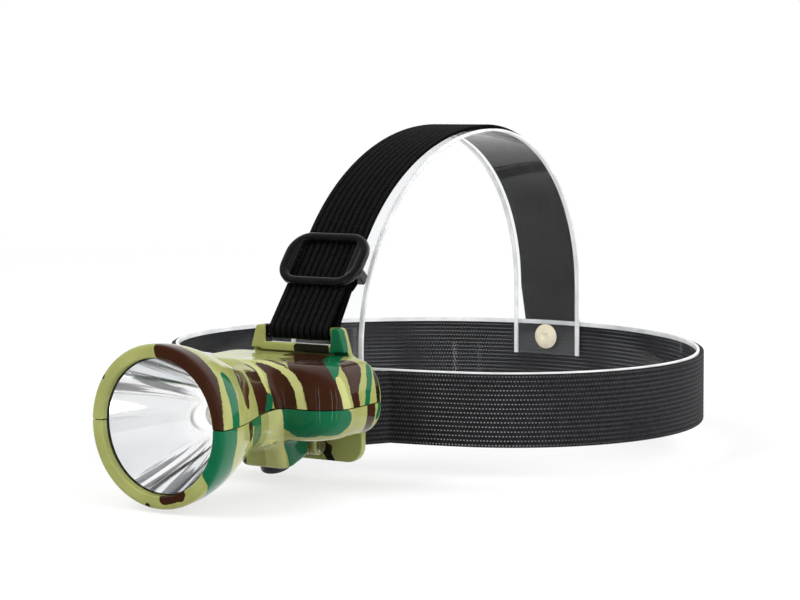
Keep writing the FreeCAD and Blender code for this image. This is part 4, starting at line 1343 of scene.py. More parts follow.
@dataclass(frozen=True)
class Webbing:
    """Headband and overhead strap of ribbed elastic."""

    finishes: Finishes
    ring: HeadRing = HeadRing()
    arch: ArchLine = ArchLine()
    width: float = 25.0
    thick: float = 1.3
    middle: float = 1.45
    rod_x: float = 19.0
    rod_y: float = -89.2
    wrap: float = 2.45
    merge_x: float = 26.5
    bar_y: float = -95.7
    bar_z: float = 38.8
    bar_wrap: float = 2.55
    slack: float = 5.0
    hem_y: float = 85.65
    hem_z: float = 1.5
    shoulder_z: float = 25.5
    up: Span = (0.6391080, 0.7691170)
    slider_up: float = 26.6
    pin_depth: float = 3.25
    pin_drop: float = 4.0
    pin_wrap: float = 1.7
    pin_gap: float = 0.3
    sewn: float = 3.2
    tail_share: float = 0.72
    band_ribs: int = 16
    band_groove: float = 0.08
    strap_ribs: int = 10
    strap_groove: float = 0.24
    rod_pitch: float = 0.4
    bar_pitch: float = 0.3
    halvings: int = 40

    def strap(self, name: str, path: Path) -> Piece:
        """Length of the overhead strap's elastic along a path."""
        return Strip(self.width, self.thick, self.strap_ribs, self.strap_groove).sweep(name, path, ACROSS_X)

    def headband(self) -> None:
        """Make the band round the former, sewn round a rod at each end."""
        ring = self.ring.run(self.middle, self.merge_x)
        ends = []
        for side in (1, -1):
            merge = ring[0] if side > 0 else ring[-1]
            rod = vec(side * self.rod_x, self.rod_y)
            leaves, start = tangent_turn(merge, rod, self.wrap, -side)
            meets, end = tangent_turn(merge, rod, self.wrap, side)
            sweep = (start - end) * side % math.tau
            turn = arc(rod, self.wrap, start, start - side * (math.tau - (-sweep % math.tau)), self.rod_pitch)
            tail = line(meets, meets + (merge - meets) * self.tail_share)
            ends.append(chained([line(merge, leaves), turn, tail]))
        plan = chained([ends[0][::-1], ring, ends[1]])
        path = Path.through(lay_flat(plan, self.width / 2.0), UP)
        band = Strip(self.width, self.thick, self.band_ribs, self.band_groove)
        piece = band.sweep("elastic_headband", path, UP)
        mount_piece(dress(piece, self.finishes.band), Body.HARNESS, "webbing", "headband")

    def tangent(self) -> float:
        """Find where the strap leaves the front quarter for the loop bar.

        Returns:
            Angle on the quarter, in degrees.
        """
        reach = self.arch.top_y - self.arch.front_y + self.slack + self.middle
        rise = self.arch.top_z - self.arch.front_spring_z + self.middle
        low, high = math.radians(1.0), math.radians(89.0)
        for _ in range(self.halvings):
            angle = (low + high) / 2.0
            y = self.arch.top_y - reach * math.cos(angle)
            z = self.arch.front_spring_z + rise * math.sin(angle)
            way = unit(vec(reach * math.sin(angle), rise * math.cos(angle)))
            if (self.bar_y - y) * way[1] - (self.bar_z - z) * way[0] < self.bar_wrap:
                low = angle
            else:
                high = angle
        return math.degrees(angle)

    def overhead(self) -> None:
        """Make the strap from the back of the headband over the arch and round the loop bar."""
        up = vec(*self.up)
        front = vec(-up[1], up[0])
        bar = vec(self.bar_y, self.bar_z)
        first = math.atan2(front[1], front[0])
        leaves = self.arch.quarter(-1, self.middle, self.slack, 90.0, self.tangent())
        shoulder = vec(self.hem_y, self.shoulder_z)
        profile = chained([
            line(vec(self.hem_y, self.hem_z), shoulder),
            line(shoulder, vec(self.arch.back_y + self.middle, self.arch.back_spring_z)),
            self.arch.quarter(1, self.middle, 0.0, 0.0, 90.0),
            leaves,
            line(leaves[-1], bar + front * self.bar_wrap),
            arc(bar, self.bar_wrap, first, first + math.pi, self.bar_pitch),
        ])
        piece = self.strap("elastic_overhead_strap", Path.through(stand(profile), ACROSS_X))
        mount_piece(dress(piece, self.finishes.strap), Body.HARNESS, "webbing", "overhead_strap")
        slider = bar + front * self.bar_wrap + up * self.slider_up
        pin = slider - front * self.pin_depth - up * self.pin_drop
        sewn_end = self.pin_wrap - self.thick / 2.0 + self.sewn
        self.returning(bar - front * self.bar_wrap, pin - up * (sewn_end + self.pin_gap))
        self.end_loop(up, front, pin, sewn_end)

    def returning(self, foot: Array, top: Array) -> None:
        """Make the layer from the loop bar back up to the slider.

        Args:
            foot: Its lower end.
            top: Its upper end.
        """
        piece = self.strap("elastic_strap_return", Path.through(stand(line(foot, top)), ACROSS_X, 1.0))
        mount_piece(dress(piece, self.finishes.strap), Body.HARNESS, "webbing", "strap_return")
        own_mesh(piece)

    def end_loop(self, up: Array, front: Array, pin: Array, sewn_end: float) -> None:
        """Make the strap's end, sewn round the slider's pin.

        Args:
            up: Direction up the strap.
            front: Direction out of the strap's front.
            pin: Centre of the pin.
            sewn_end: How far below the pin the end reaches.
        """
        ends = []
        for side in (1, -1):
            start = pin - up * sewn_end + front * (side * self.thick / 2.0)
            point, angle = tangent_turn(start, pin, self.pin_wrap, -side)
            ends.append((start, point, angle))
        sweep = (ends[1][2] - ends[0][2]) % math.tau
        turn = arc(pin, self.pin_wrap, ends[0][2], ends[0][2] + sweep, self.bar_pitch)
        if np.dot(turn[len(turn) // 2] - pin, up) < 0:
            turn = arc(pin, self.pin_wrap, ends[0][2], ends[0][2] + sweep - math.tau, self.bar_pitch)
        profile = chained([line(ends[0][0], ends[0][1]), turn, line(ends[1][1], ends[1][0])])
        piece = self.strap("elastic_end_loop", Path.through(stand(profile), ACROSS_X, 1.0))
        mount_piece(dress(piece, self.finishes.strap), Body.SLIDER, "webbing", "strap_end_loop")

    def build(self) -> None:
        """Make the webbing."""
        self.headband()
        self.overhead()


# Camouflage

NO_MARK = -50.0
SHORTEST = 1e-6
Region = Callable[[Array], Array]


@dataclass(frozen=True)
class Stroke:
    """One brush mark of the print: a line through points (x, y, z, half width) in millimetres."""

    ink: Ink
    points: tuple[tuple[float, float, float, float], ...]

    def inside(self, where: Array) -> Array:
        """Measure how far points lie inside the mark.

        Args:
            where: The points.

        Returns:
            Distances, negative outside.
        """
        best = np.full(len(where), NO_MARK)
        marks = self.points if len(self.points) > 1 else self.points * 2
        for first, second in zip(marks, marks[1:]):
            start, end = vec(*first[:3]), vec(*second[:3])
            way = end - start
            share = np.clip((where - start) @ way / max(float(way @ way), SHORTEST), 0.0, 1.0)
            distance = np.linalg.norm(where - start - np.outer(share, way), axis=1)
            best = np.maximum(best, first[3] + (second[3] - first[3]) * share - distance)
        return best


# Photographed marks. Most points lie where rays through pixels chosen along a mark's edges met the model,
# were rounded to about a millimetre and then adjusted; they were not worked out in this script.
UPPER_PRINT = (
    Stroke(Ink.BROWN, ((4, -176, 41, 4.5), (12, -176, 38, 4.5), (18, -176, 32, 4.4),
        (22, -177.5, 25.5, 3.2), (23.5, -178, 17, 2.8))),
    Stroke(Ink.GREEN, ((19, -167, 33.5, 1), (20, -167, 32, 2.4), (22, -168, 28, 3.2), (24, -169, 24, 2.6),
        (26, -170, 17, 2.2))),
    Stroke(Ink.BROWN, ((9, -146, 31, 3), (15, -152, 29, 4), (19, -156, 27, 3.2), (21, -158, 23, 2.2))),
    Stroke(Ink.BROWN, ((6, -134, 29, 3), (10, -137, 27, 4.5), (12, -139, 24, 5.8), (15, -141, 21, 6.2),
        (16, -142, 18, 5.4))),
    Stroke(Ink.BROWN, ((-2, -126, 31, 1), (4, -129, 29, 1.1), (8, -133, 27, 1.2))),
    Stroke(Ink.BROWN, ((4, -124, 31, 3), (10, -126, 29, 3.4), (13, -128, 26, 4.2), (15, -129, 22, 4.3),
        (16, -129, 17, 4))),
    Stroke(Ink.BROWN, ((8, -113, 31, 5), (15, -115, 31, 7.5), (22, -123, 30, 6.9), (26, -125, 27, 6.1),
        (28, -126, 24, 6.2), (30, -126, 18, 6.5))),
    Stroke(Ink.BROWN, ((2, -103, 31, 4.5), (10, -104, 31, 6), (14, -110, 31, 6.5))),
    Stroke(Ink.BROWN, ((28, -110, 30, 4.3), (31, -113, 28, 4.1), (33, -115, 25, 3), (34, -116, 22, 2.3),
        (34, -115, 17, 1.9))),
    Stroke(Ink.GREEN, ((13, -134, 21, 1.8), (14, -137, 17, 2.6))),
    Stroke(Ink.GREEN, ((16, -99, 31, 2.8), (20, -108, 31, 2.9), (26, -117, 31, 2.6), (29, -120, 29, 1.5),
        (31, -122, 27, 0.7))),
    Stroke(Ink.GREEN, ((30, -101, 30, 1), (33, -105, 26, 1.4), (34, -108, 21, 1.5), (34, -109, 17, 1.6))),
    # dark mark on the housing's right end: print, and painted shade where the end turns away from the light
    Stroke(Ink.DARK, ((31, -99, 28, 1), (33, -101, 26, 1.2), (34, -102, 22, 1.2), (34, -102, 17, 1.2))),
    Stroke(Ink.DARK, ((-21, -177, 31, 1),)),
    Stroke(Ink.STRAW, ((-9, -121, 31, 0.9), (-3, -125, 31, 0.9), (5, -129, 29, 0.8), (10, -133, 26, 1),
        (12, -134, 23, 0.7))),
    Stroke(Ink.STRAW, ((-7, -122, 31, 1), (0, -124, 32, 1.2), (6, -124, 31, 1.1), (11, -125, 30, 1),
        (16, -127, 28, 1.4), (20, -128, 24, 1.6), (22, -128, 17, 1.5))),
    Stroke(Ink.STRAW, ((31, -121, 28, 0.8), (32, -121, 25, 1.5), (33, -121, 22, 1.5), (34, -120, 17, 1.6))),
)
LOWER_PRINT = (
    Stroke(Ink.GREEN, ((24, -175, 17, 6), (23.5, -175, 10, 6), (22, -174.5, 6, 5.6), (20.5, -171.5, 0, 5.4),
        (17.5, -171, -3.5, 4), (14, -172, -6, 2.2))),
    Stroke(Ink.BROWN, ((3, -177.5, -6, 2.2), (9, -177.5, -4.3, 2.2))),
    Stroke(Ink.DARK, ((-4, -177, -9, 1.1),)),
    Stroke(Ink.BROWN, ((22, -157, 16, 2.2), (21, -155, 12, 1.9))),
    Stroke(Ink.GREEN, ((18, -148, 17, 4.2), (18, -148, 13, 4.6), (15, -143, 8, 2.8))),
    # brown stripe down the left of the switch boss: print, and painted shade along its crease
    Stroke(Ink.BROWN, ((-6, -127, 8, 1.5), (-7, -123, 0, 1.5), (-8, -120, -6, 1.2))),
    Stroke(Ink.GREEN, ((17.5, -129, 13.5, 4.7), (28, -128, 13.5, 4.7), (33, -122, 13.5, 4.3))),
    Stroke(Ink.GREEN, ((19, -128, 10.3, 3.2), (28, -127.5, 10.3, 3.2), (31.5, -122.5, 10.6, 3.1))),
    Stroke(Ink.GREEN, ((13, -125, 12, 3), (12, -121, 6, 2.3), (11, -118, 0, 2.3), (10, -116, -6, 2.1))),
    Stroke(Ink.GREEN, ((14, -117, 6, 7), (14, -113, 0, 7), (14, -111, -6, 6.5))),
    # pale straw column on the switch boss: print, and a painted highlight in place of the reflection on its
    # front
    Stroke(Ink.STRAW, ((13.5, -133.5, 17, 3.7), (11.3, -131, 11, 4), (8.7, -127.5, 6, 4.1),
        (6.2, -122.5, -2, 4.1), (5.2, -120, -6, 4))),
    Stroke(Ink.BROWN, ((35, -106.5, 17, 2.5), (34, -106, 12, 2.4), (31, -104.5, 7, 1.8))),
    Stroke(Ink.GREEN, ((35, -101, 17, 1.3), (34, -102, 12, 0.9))),
)
PLATE_PRINT = (
    Stroke(Ink.DARK, ((-13.2, -96, 41, 2.4), (-13.2, -96, 34.5, 2.6))),
    Stroke(Ink.DARK, ((1, -99.5, 33, 2.3), (11, -99.5, 33, 2.3))),
    Stroke(Ink.GREEN, ((17, -99, 40.5, 2.7), (17, -99, 36, 3), (16.5, -99, 31, 3.5))),
    # brown and dark marks under the lamp beside the hinge: print, and painted shadow between lamp and plate
    Stroke(Ink.BROWN, ((7, -97, 1, 1.3), (11, -97, -1, 1.5))),
    Stroke(Ink.DARK, ((10, -97, -2, 1.5), (12, -97, -5, 1.4))),
)


@dataclass(frozen=True)
class CamoPrint:
    """Woodland print: marks where the photograph shows them, and at random on the hidden sides."""

    shown: tuple[Stroke, ...]
    seed: int
    marks: int
    seen_from: Place = (0.53, -0.84, 0.45)
    seen_limit: float = 0.12
    fade: float = 9.0
    unguarded: float = 0.2
    half_width: Span = (1.5, 3.4)
    width_change: Span = (0.7, 1.15)
    stations: tuple[int, int] = (3, 4)
    wander: float = 0.5
    stride: Span = (4.0, 7.5)
    inks: tuple[Ink, ...] = (Ink.BROWN, Ink.GREEN, Ink.BROWN, Ink.DARK, Ink.GREEN, Ink.STRAW)

    @staticmethod
    def any_way(dice: random.Random) -> Array:
        """Random vector."""
        return vec(dice.gauss(0, 1), dice.gauss(0, 1), dice.gauss(0, 1))

    def random_marks(self, where: Array, hidden: Array) -> list[Stroke]:
        """Marks that wander over the hidden sides.

        Args:
            where: Corner positions of the piece.
            hidden: Which corners the photograph doesn't show.

        Returns:
            The marks.
        """
        dice = random.Random(self.seed)
        starts = where[hidden]
        strokes = []
        for index in range(self.marks):
            point = starts[dice.randrange(len(starts))]
            way = unit(self.any_way(dice))
            width = dice.uniform(*self.half_width)
            points = []
            for _ in range(dice.randint(*self.stations)):
                points.append((*point, width * dice.uniform(*self.width_change)))
                way = unit(way + self.wander * self.any_way(dice))
                target = point + way * dice.uniform(*self.stride)
                point = starts[int(np.argmin(((starts - target) ** 2).sum(axis=1)))]
            strokes.append(Stroke(self.inks[index % len(self.inks)], tuple(points)))
        return strokes

    def paint(self, piece: Piece, sunk: Region | None = None, seen: Region | None = None) -> None:
        """Store each ink's distance on a piece's corners.

        Args:
            piece: The piece.
            sunk: Tells from the corner positions which corners lie deep in a groove, which get the dark ink
                as painted shade.
            seen: Tells from the corner positions where the photographed marks stand alone; None for all.
        """
        where = points_of(piece)
        normals = np.empty(len(where) * 3)
        piece.data.vertices.foreach_get("normal", normals)
        facing = normals.reshape(-1, 3) @ vec(*self.seen_from)
        guard = np.maximum(facing - self.seen_limit, 0.0) * self.fade
        if seen:
            guard = guard * seen(where)
        scattered = self.random_marks(where, guard < self.unguarded)
        for ink in Ink:
            best = np.full(len(where), NO_MARK)
            for stroke in self.shown:
                if stroke.ink == ink:
                    best = np.maximum(best, stroke.inside(where))
            for stroke in scattered:
                if stroke.ink == ink:
                    best = np.maximum(best, stroke.inside(where) - guard)
            # painted shade: corners deep in the groove take the dark ink and no other
            if sunk:
                best = np.where(sunk(where), 1.0 if ink is Ink.DARK else -1.0, best)
            layer = piece.data.attributes.new(ink.layer, "FLOAT", "POINT")
            layer.data.foreach_set("value", best.astype(np.float32))


LOWER_CAMO = CamoPrint(LOWER_PRINT, seed=11, marks=26, seen_from=(0.53, -0.84, -0.1))
UPPER_CAMO = CamoPrint(UPPER_PRINT, seed=5, marks=26)
PLATE_CAMO = CamoPrint(PLATE_PRINT, seed=3, marks=12)


# Lamp casing


RIM_STEPS = 8
BELL_STEPS = 40
HOUSING_STEPS = 40
STEEPEST = 0.9999
FAR = 1e9


@dataclass(frozen=True)
class Casing:
    """Two-part lamp casing: bell, cross housing, switch boss and hinge ears blended into one form."""

    finishes: Finishes
    rim_y: float = -177.5
    rim_radius: float = 26.2
    opening: float = 21.8
    opening_bevel: float = 0.45
    rim_round: float = 1.5
    bell_length: float = 47.9
    neck: float = 13.4
    wall: float = 1.8
    lip: float = 2.6
    seam_z: float = 17.0
    half: float = 34.5
    front_y: float = -128.5
    rear_y: float = -97.6
    low_z: float = 5.6
    high_z: float = 31.2
    end_round: float = 10.0
    top_round: float = 7.0
    low_round: float = 5.5
    rear_round: float = 1.2
    front_corner: float = 11.0
    rear_corner: float = 4.0
    fullness: float = 2.5
    boss_half: float = 10.4
    boss_corner: float = 4.5
    boss_wall: float = 1.4
    boss_low_z: float = -10.0
    boss_front: Span = (-118.0, -130.0)
    boss_rear: Span = (-106.6, -104.0)
    boss_spare: float = 4.0
    face_cut: Span = (30.0, 40.0)
    face_tilt: float = 17.0
    button_y: float = -113.5
    button_z: float = -3.4
    button_hole: float = 5.5
    hinge_y: float = -101.6
    hinge_z: float = 0.2
    hinge_hole: float = 1.25
    hinge_reach: float = 12.0
    eye: float = 3.0
    ear_inner: float = 7.8
    ear_outer: float = 10.4
    ear_root: float = 9.0
    ear_top: float = 5.0
    socket_x: float = -27.0
    socket_z: float = 18.4
    socket_hole: float = 3.25
    socket_reach: Span = (2.0, -9.0)
    screw_x: float = 20.0
    screw_y: float = -102.0
    screw_hole: float = 2.15
    screw_depth: float = 1.35
    spare: float = 1.0
    housing_blend: float = 4.5
    boss_blend: float = 3.0
    ear_blend: float = 1.5
    face_blend: float = 1.6
    ear_edge: float = 0.8
    voxel: float = 0.6
    draws: int = 6
    longest_draw: float = 0.8
    least_slope: float = 0.25
    probe: float = 0.05
    groove: float = 0.36
    groove_depth: float = 0.9
    room: Place = (90.0, -200.0, -60.0)
    below: float = -30.0
    above: float = 60.0
    crease: float = 38.0

    def bell_radius(self, share: float) -> float:
        """Outer radius along the bell, 0 at the rim and 1 at the neck."""
        return self.neck + (self.rim_radius - self.neck) * (1.0 + math.cos(math.pi * share)) / 2.0

    def bell_profile(self, inset: float) -> list[Span]:
        """Side view of the bell.

        Args:
            inset: How far inside the outer form, or 0 for the outer form with its round rim.

        Returns:
            Points (distance behind the rim, radius), from the axis in front to the axis behind.
        """
        rear = self.rim_round + self.bell_length
        if inset:
            front, first = self.lip, 0
            profile = [(self.lip, 0.0)]
        else:
            front, first = self.rim_round, 1
            profile = [(0.0, 0.0)]
            for step in range(RIM_STEPS, -1, -1):
                angle = math.radians(90.0 * step / RIM_STEPS)
                profile.append((self.rim_round * (1.0 - math.sin(angle)),
                                self.rim_radius - self.rim_round * (1.0 - math.cos(angle))))
        for step in range(first, BELL_STEPS + 1):
            share = step / BELL_STEPS
            profile.append((front + (rear - front) * share, self.bell_radius(share) - inset))
        end = self.front_y + self.front_corner - self.rim_y
        return profile + [(end, self.neck - inset), (end, 0.0)]

    def bell_mesh(self, inset: float) -> Piece:
        """Closed bell."""
        return turned("bell", self.bell_profile(inset), vec(0.0, self.rim_y, LAMP_AXIS_Z), BACK, 128)

    def section(self, level: float, inset: float) -> tuple[float, float, float, float]:
        """Housing plan at a level.

        Args:
            level: -1 at the bottom, 0 at the seam and 1 at the top.
            inset: How far inside the outer form.

        Returns:
            Half length, front, rear and height.
        """
        shrink = 1.0 - math.sqrt(1.0 - abs(level) ** self.fullness)
        above = level > 0
        reach = (self.high_z - self.seam_z if above else self.seam_z - self.low_z) - inset
        bulge = (self.top_round if above else self.low_round) - inset
        return (self.half - inset - shrink * (self.end_round - inset), self.front_y + inset + shrink * bulge,
                self.rear_y - inset - shrink * self.rear_round, self.seam_z + level * reach)

    def housing_mesh(self, inset: float) -> Piece:
        """Build the closed cross housing.

        Args:
            inset: How far inside the outer form.

        Returns:
            The housing.
        """
        loops = []
        for step in range(HOUSING_STEPS + 1):
            level = math.sin(math.pi * (step / HOUSING_STEPS - 0.5))
            half, front, rear, z = self.section(level, inset)
            plan = rounded_rectangle(half, front, rear, (self.rear_corner - inset, self.front_corner - inset))
            loops.append(lay_flat(plan, z))
        return loft("housing", loops)

    def boss_plan(self, z: float, inset: float) -> Span:
        """Front and rear of the switch boss at a height.

        Args:
            z: The height, or an array of heights.
            inset: How far inside the outer form.

        Returns:
            Y of the front and of the rear.
        """
        share = (z - self.boss_low_z) / (self.seam_z - self.boss_low_z)
        front, rear = (low + (high - low) * share for low, high in (self.boss_front, self.boss_rear))
        return front + inset, rear - inset

    def boss_mesh(self, inset: float) -> Piece:
        """Build the closed boss column with its sloping lower face.

        Args:
            inset: How far inside the outer form.

        Returns:
            The column.
        """
        loops = []
        for z in (self.boss_low_z - self.boss_spare, self.seam_z):
            front, rear = self.boss_plan(z, inset)
            plan = rounded_rectangle(self.boss_half - inset, front, rear, (self.boss_corner - inset,) * 2)
            loops.append(lay_flat(plan, z))
        normal = self.face_normal()
        centre = self.face_centre() - normal * inset
        depth, radius = self.face_cut
        tool = turned("under", [(0.0, radius), (depth, radius)], centre, normal, 4)
        return cut(loft("boss", loops), tool)

    def face_normal(self) -> Array:
        """Direction out of the boss's sloping face."""
        tilt = math.radians(self.face_tilt)
        return vec(0.0, math.sin(tilt), -math.cos(tilt))

    def face_centre(self) -> Array:
        """Middle of the boss's sloping face."""
        return vec(0.0, self.button_y, self.button_z)

    @staticmethod
    def plan_distance(x: Array, y: Array, half: Array, front: Array, rear: Array, corners: Span) -> Array:
        """Distance outside a rounded plan outline.

        Args:
            x: X of the points.
            y: Y of the points.
            half: Half length of the outline at each point.
            front: Its front at each point.
            rear: Its rear at each point.
            corners: Radius at the rear and at the front.

        Returns:
            Distances, negative inside.
        """
        middle, depth = (front + rear) / 2.0, (rear - front) / 2.0
        radius = np.where(y < middle, corners[1], corners[0])
        out_x = np.abs(x) - half + radius
        out_y = np.abs(y - middle) - depth + radius
        far = np.hypot(np.maximum(out_x, 0.0), np.maximum(out_y, 0.0))
        return far + np.minimum(np.maximum(out_x, out_y), 0.0) - radius

    def bell_distance(self, where: Array) -> Array:
        """Distance of points outside the bell.

        Args:
            where: The points.

        Returns:
            Distances, negative inside.
        """
        profile = np.array(self.bell_profile(0.0)[1:-1])
        here = np.column_stack([where[:, 1] - self.rim_y, np.hypot(where[:, 0], where[:, 2] - LAMP_AXIS_Z)])
        best = np.full(len(where), FAR)
        for first, second in zip(np.vstack([[profile[0][0], 0.0], profile]), profile):
            way = second - first
            share = np.clip((here - first) @ way / max(float(way @ way), SHORTEST), 0.0, 1.0)
            best = np.minimum(best, np.linalg.norm(here - first - np.outer(share, way), axis=1))
        edge = np.interp(here[:, 0], profile[:, 0], profile[:, 1])
        inside = (here[:, 0] > 0.0) & (here[:, 0] < profile[-1, 0]) & (here[:, 1] < edge)
        return np.where(inside, -best, best)

    def housing_distance(self, where: Array) -> Array:
        """Distance of points outside the housing.

        Args:
            where: The points.

        Returns:
            Distances, negative inside.
        """
        z = where[:, 2] - self.seam_z
        reach = np.where(z > 0, self.high_z - self.seam_z, self.seam_z - self.low_z)
        level = np.clip(np.abs(z) / reach, 0.0, STEEPEST)
        shrink = 1.0 - np.sqrt(1.0 - level ** self.fullness)
        bulge = np.where(z > 0, self.top_round, self.low_round)
        side = self.plan_distance(where[:, 0], where[:, 1], self.half - shrink * self.end_round,
                                  self.front_y + shrink * bulge, self.rear_y - shrink * self.rear_round,
                                  (self.rear_corner, self.front_corner))
        slope = self.fullness * level ** (self.fullness - 1.0) / (2.0 * (1.0 - shrink)) * bulge / reach
        widest = self.plan_distance(where[:, 0], where[:, 1], np.full(len(where), self.half), self.front_y,
                                    self.rear_y, (self.rear_corner, self.front_corner))
        return np.maximum(np.maximum(side / np.sqrt(1.0 + slope ** 2), widest), np.abs(z) - reach)

    def boss_distance(self, where: Array) -> Array:
        """Distance of points outside the switch boss.

        Args:
            where: The points.

        Returns:
            Distances, negative inside.
        """
        front, rear = self.boss_plan(where[:, 2], 0.0)
        side = self.plan_distance(where[:, 0], where[:, 1], np.full(len(where), self.boss_half), front, rear,
                                  (self.boss_corner, self.boss_corner))
        face = (where - self.face_centre()) @ self.face_normal()
        return np.maximum(-smooth_min(-side, -face, self.face_blend), where[:, 2] - self.seam_z)

    def ear_distance(self, where: Array) -> Array:
        """Distance of points outside the two hinge ears.

        Args:
            where: The points.

        Returns:
            Distances, negative inside.
        """
        y, z = where[:, 1] - self.hinge_y, where[:, 2] - self.hinge_z
        flat = np.hypot(y, np.minimum(z, 0.0)) - self.eye
        middle, thick = (self.ear_inner + self.ear_outer) / 2.0, (self.ear_outer - self.ear_inner) / 2.0
        side = np.abs(np.abs(where[:, 0]) - middle) - thick
        ear = -smooth_min(-flat, -side, self.ear_edge)
        return np.maximum(ear, where[:, 2] - self.low_z - self.ear_root)

    def distance(self, where: Array) -> Array:
        """Distance of points outside the whole form, with its hollows filled by a soft round.

        Args:
            where: The points.

        Returns:
            Distances, negative inside.
        """
        body = smooth_min(self.bell_distance(where), self.housing_distance(where), self.housing_blend)
        body = smooth_min(body, self.boss_distance(where), self.boss_blend)
        return smooth_min(body, self.ear_distance(where), self.ear_blend)

    def in_groove(self, where: Array) -> Array:
        """Which points lie deep in the groove between the shells."""
        level = np.abs(where[:, 2] - self.seam_z) < self.groove
        return level & (self.distance(where) < -self.groove_depth / 3.0)

    def slope(self, where: Array) -> Array:
        """Direction and rate in which the distance grows.

        Args:
            where: The points.

        Returns:
            A vector at each point.
        """
        columns = []
        for axis in (ACROSS_X, BACK, UP):
            shift = self.probe * axis
            columns.append((self.distance(where + shift) - self.distance(where - shift)) / (2.0 * self.probe))
        return np.column_stack(columns)

    def outer(self) -> Piece:
        """Build the outer skin: the forms joined, remeshed and drawn onto the blended surface.

        Returns:
            The skin, closed and without a hollow.
        """
        parts = [self.bell_mesh(0.0), self.housing_mesh(0.0), self.boss_mesh(0.0)]
        for side in (1, -1):
            near, far = sorted((side * self.ear_inner, side * self.ear_outer))
            parts.append(self.hinge_bar("eye", near, far, self.eye))
            parts.append(box_mesh("ear", (near, self.hinge_y - self.eye, self.hinge_z),
                                  (far, self.hinge_y + self.eye, self.low_z + self.ear_top)))
        skin = joined("casing", parts)
        remeshed(skin, self.voxel)
        applied(skin)
        where = points_of(skin)
        for _ in range(self.draws):
            slope = self.slope(where)
            rate = np.maximum((slope ** 2).sum(axis=1), self.least_slope)
            step = slope * (self.distance(where) / rate)[:, None]
            where = where - np.clip(step, -self.longest_draw, self.longest_draw)
        place_points(skin, where)
        return skin

    def core(self, skin: Piece) -> Piece:
        """Draw a copy of the skin in by the groove's depth.

        Args:
            skin: The outer skin.

        Returns:
            The smaller copy.
        """
        inner = copied(skin, "core")
        where = points_of(inner)
        slope = self.slope(where)
        place_points(inner, where - slope / np.linalg.norm(slope, axis=1)[:, None] * self.groove_depth)
        return inner

    def slab(self, name: str, low: float, high: float) -> Piece:
        """Block between two heights that reaches past the casing on all sides."""
        half, front, rear = self.room
        return box_mesh(name, (-half, front, low), (half, rear, high))

    def hinge_bar(self, name: str, near: float, far: float, radius: float) -> Piece:
        """Round bar on the hinge's axis between two places across."""
        start, end = (vec(x, self.hinge_y, self.hinge_z) for x in (near, far))
        return cylinder(name, start, end, radius)

    def open_up(self, skin: Piece) -> None:
        """Cut the openings for lens, button, hinge pin, charging socket and screws.

        Args:
            skin: The hollow casing.
        """
        bevel = self.spare + self.opening_bevel
        bore = [(-self.spare, self.opening + bevel), (self.opening_bevel, self.opening),
                (self.lip + self.spare, self.opening)]
        cut(skin, turned("bore", bore, vec(0.0, self.rim_y, LAMP_AXIS_Z), BACK, 128))
        hole = [(-self.boss_spare, self.button_hole), (self.boss_spare, self.button_hole)]
        cut(skin, turned("button_hole", hole, self.face_centre(), self.face_normal(), 64))
        cut(skin, self.hinge_bar("pin_hole", -self.hinge_reach, self.hinge_reach, self.hinge_hole))
        outer, inner = (vec(self.socket_x, self.rear_y + reach, self.socket_z) for reach in self.socket_reach)
        cut(skin, cylinder("socket_hole", outer, inner, self.socket_hole))
        for x in (self.screw_x, -self.screw_x):
            top = vec(x, self.screw_y, self.low_z + self.screw_depth)
            cut(skin, cylinder("screw_hole", vec(x, self.screw_y, 0.0), top, self.screw_hole))

    def build(self) -> None:
        """Make both shells."""
        skin = self.outer()
        groove = self.slab("seam", self.seam_z - self.groove / 2.0, self.seam_z + self.groove / 2.0)
        cut(groove, self.core(skin))
        cut(skin, self.bell_mesh(self.wall))
        cut(skin, self.housing_mesh(self.wall))
        cut(skin, self.boss_mesh(self.boss_wall))
        self.open_up(skin)
        cut(skin, groove)
        for name, low, high, camo in (("lower", self.below, self.seam_z, LOWER_CAMO),
                                      ("upper", self.seam_z, self.above, UPPER_CAMO)):
            shell = copied(skin, "camo_%s_shell" % name)
            cut(shell, self.slab("half", low, high), Combine.KEEP_COMMON)
            smooth(shell, self.crease)
            # the deep seam groove gets painted shade in dark ink
            camo.paint(shell, self.in_groove)
            mount_piece(dress(shell, self.finishes.camo), Body.LAMP, "camo_plastic", "%s_shell" % name)
        bpy.data.objects.remove(skin)


def softened(node: str, name: str, voxel: float, rounds: int, *added: Piece) -> Piece:
    """Copy of a CAD node with soft moulded edges.

    Args:
        node: Name of the node.
        name: Name of the new piece.
        voxel: Mesh size in millimetres.
        rounds: Smoothing passes, each rounding the edges more.
        added: Closed pieces that melt into the copy.

    Returns:
        The new piece.
    """
    piece = joined(name, [copied(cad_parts[node], name), *added])
    remeshed(piece, voxel)
    soften = piece.modifiers.new("soften", "SMOOTH")
    soften.factor = 0.5
    soften.iterations = rounds
    applied(piece)
    smooth(piece, 60.0)
    return piece


@dataclass(frozen=True)
class BackPlate:
    """Plate that carries the lamp, the strap loop and the ends of the headband, with its hinge pin."""

    finishes: Finishes
    voxel: float = 0.35
    rounds: int = 6
    sill_half: float = 15.0
    sill_y: Span = (-99.5, -96.0)
    sill_z: Span = (31.8, 34.6)
    shown_x: float = 5.0
    shown_z: float = 30.0

    def shown(self, where: Array) -> Array:
        """Which points the lamp doesn't hide in the photograph."""
        return (where[:, 0] > self.shown_x) | (where[:, 2] > self.shown_z)

    def build(self) -> None:
        """Make the plate."""
        sill = box_mesh("sill", (-self.sill_half, self.sill_y[0], self.sill_z[0]),
                        (self.sill_half, self.sill_y[1], self.sill_z[1]))
        plate = softened("back_plate", "camo_back_plate", self.voxel, self.rounds, sill)
        PLATE_CAMO.paint(plate, seen=self.shown)
        mount_piece(dress(plate, self.finishes.camo), Body.HARNESS, "camo_plastic", "back_plate")
        dress_node("hinge_pin", self.finishes.steel, 0.2)


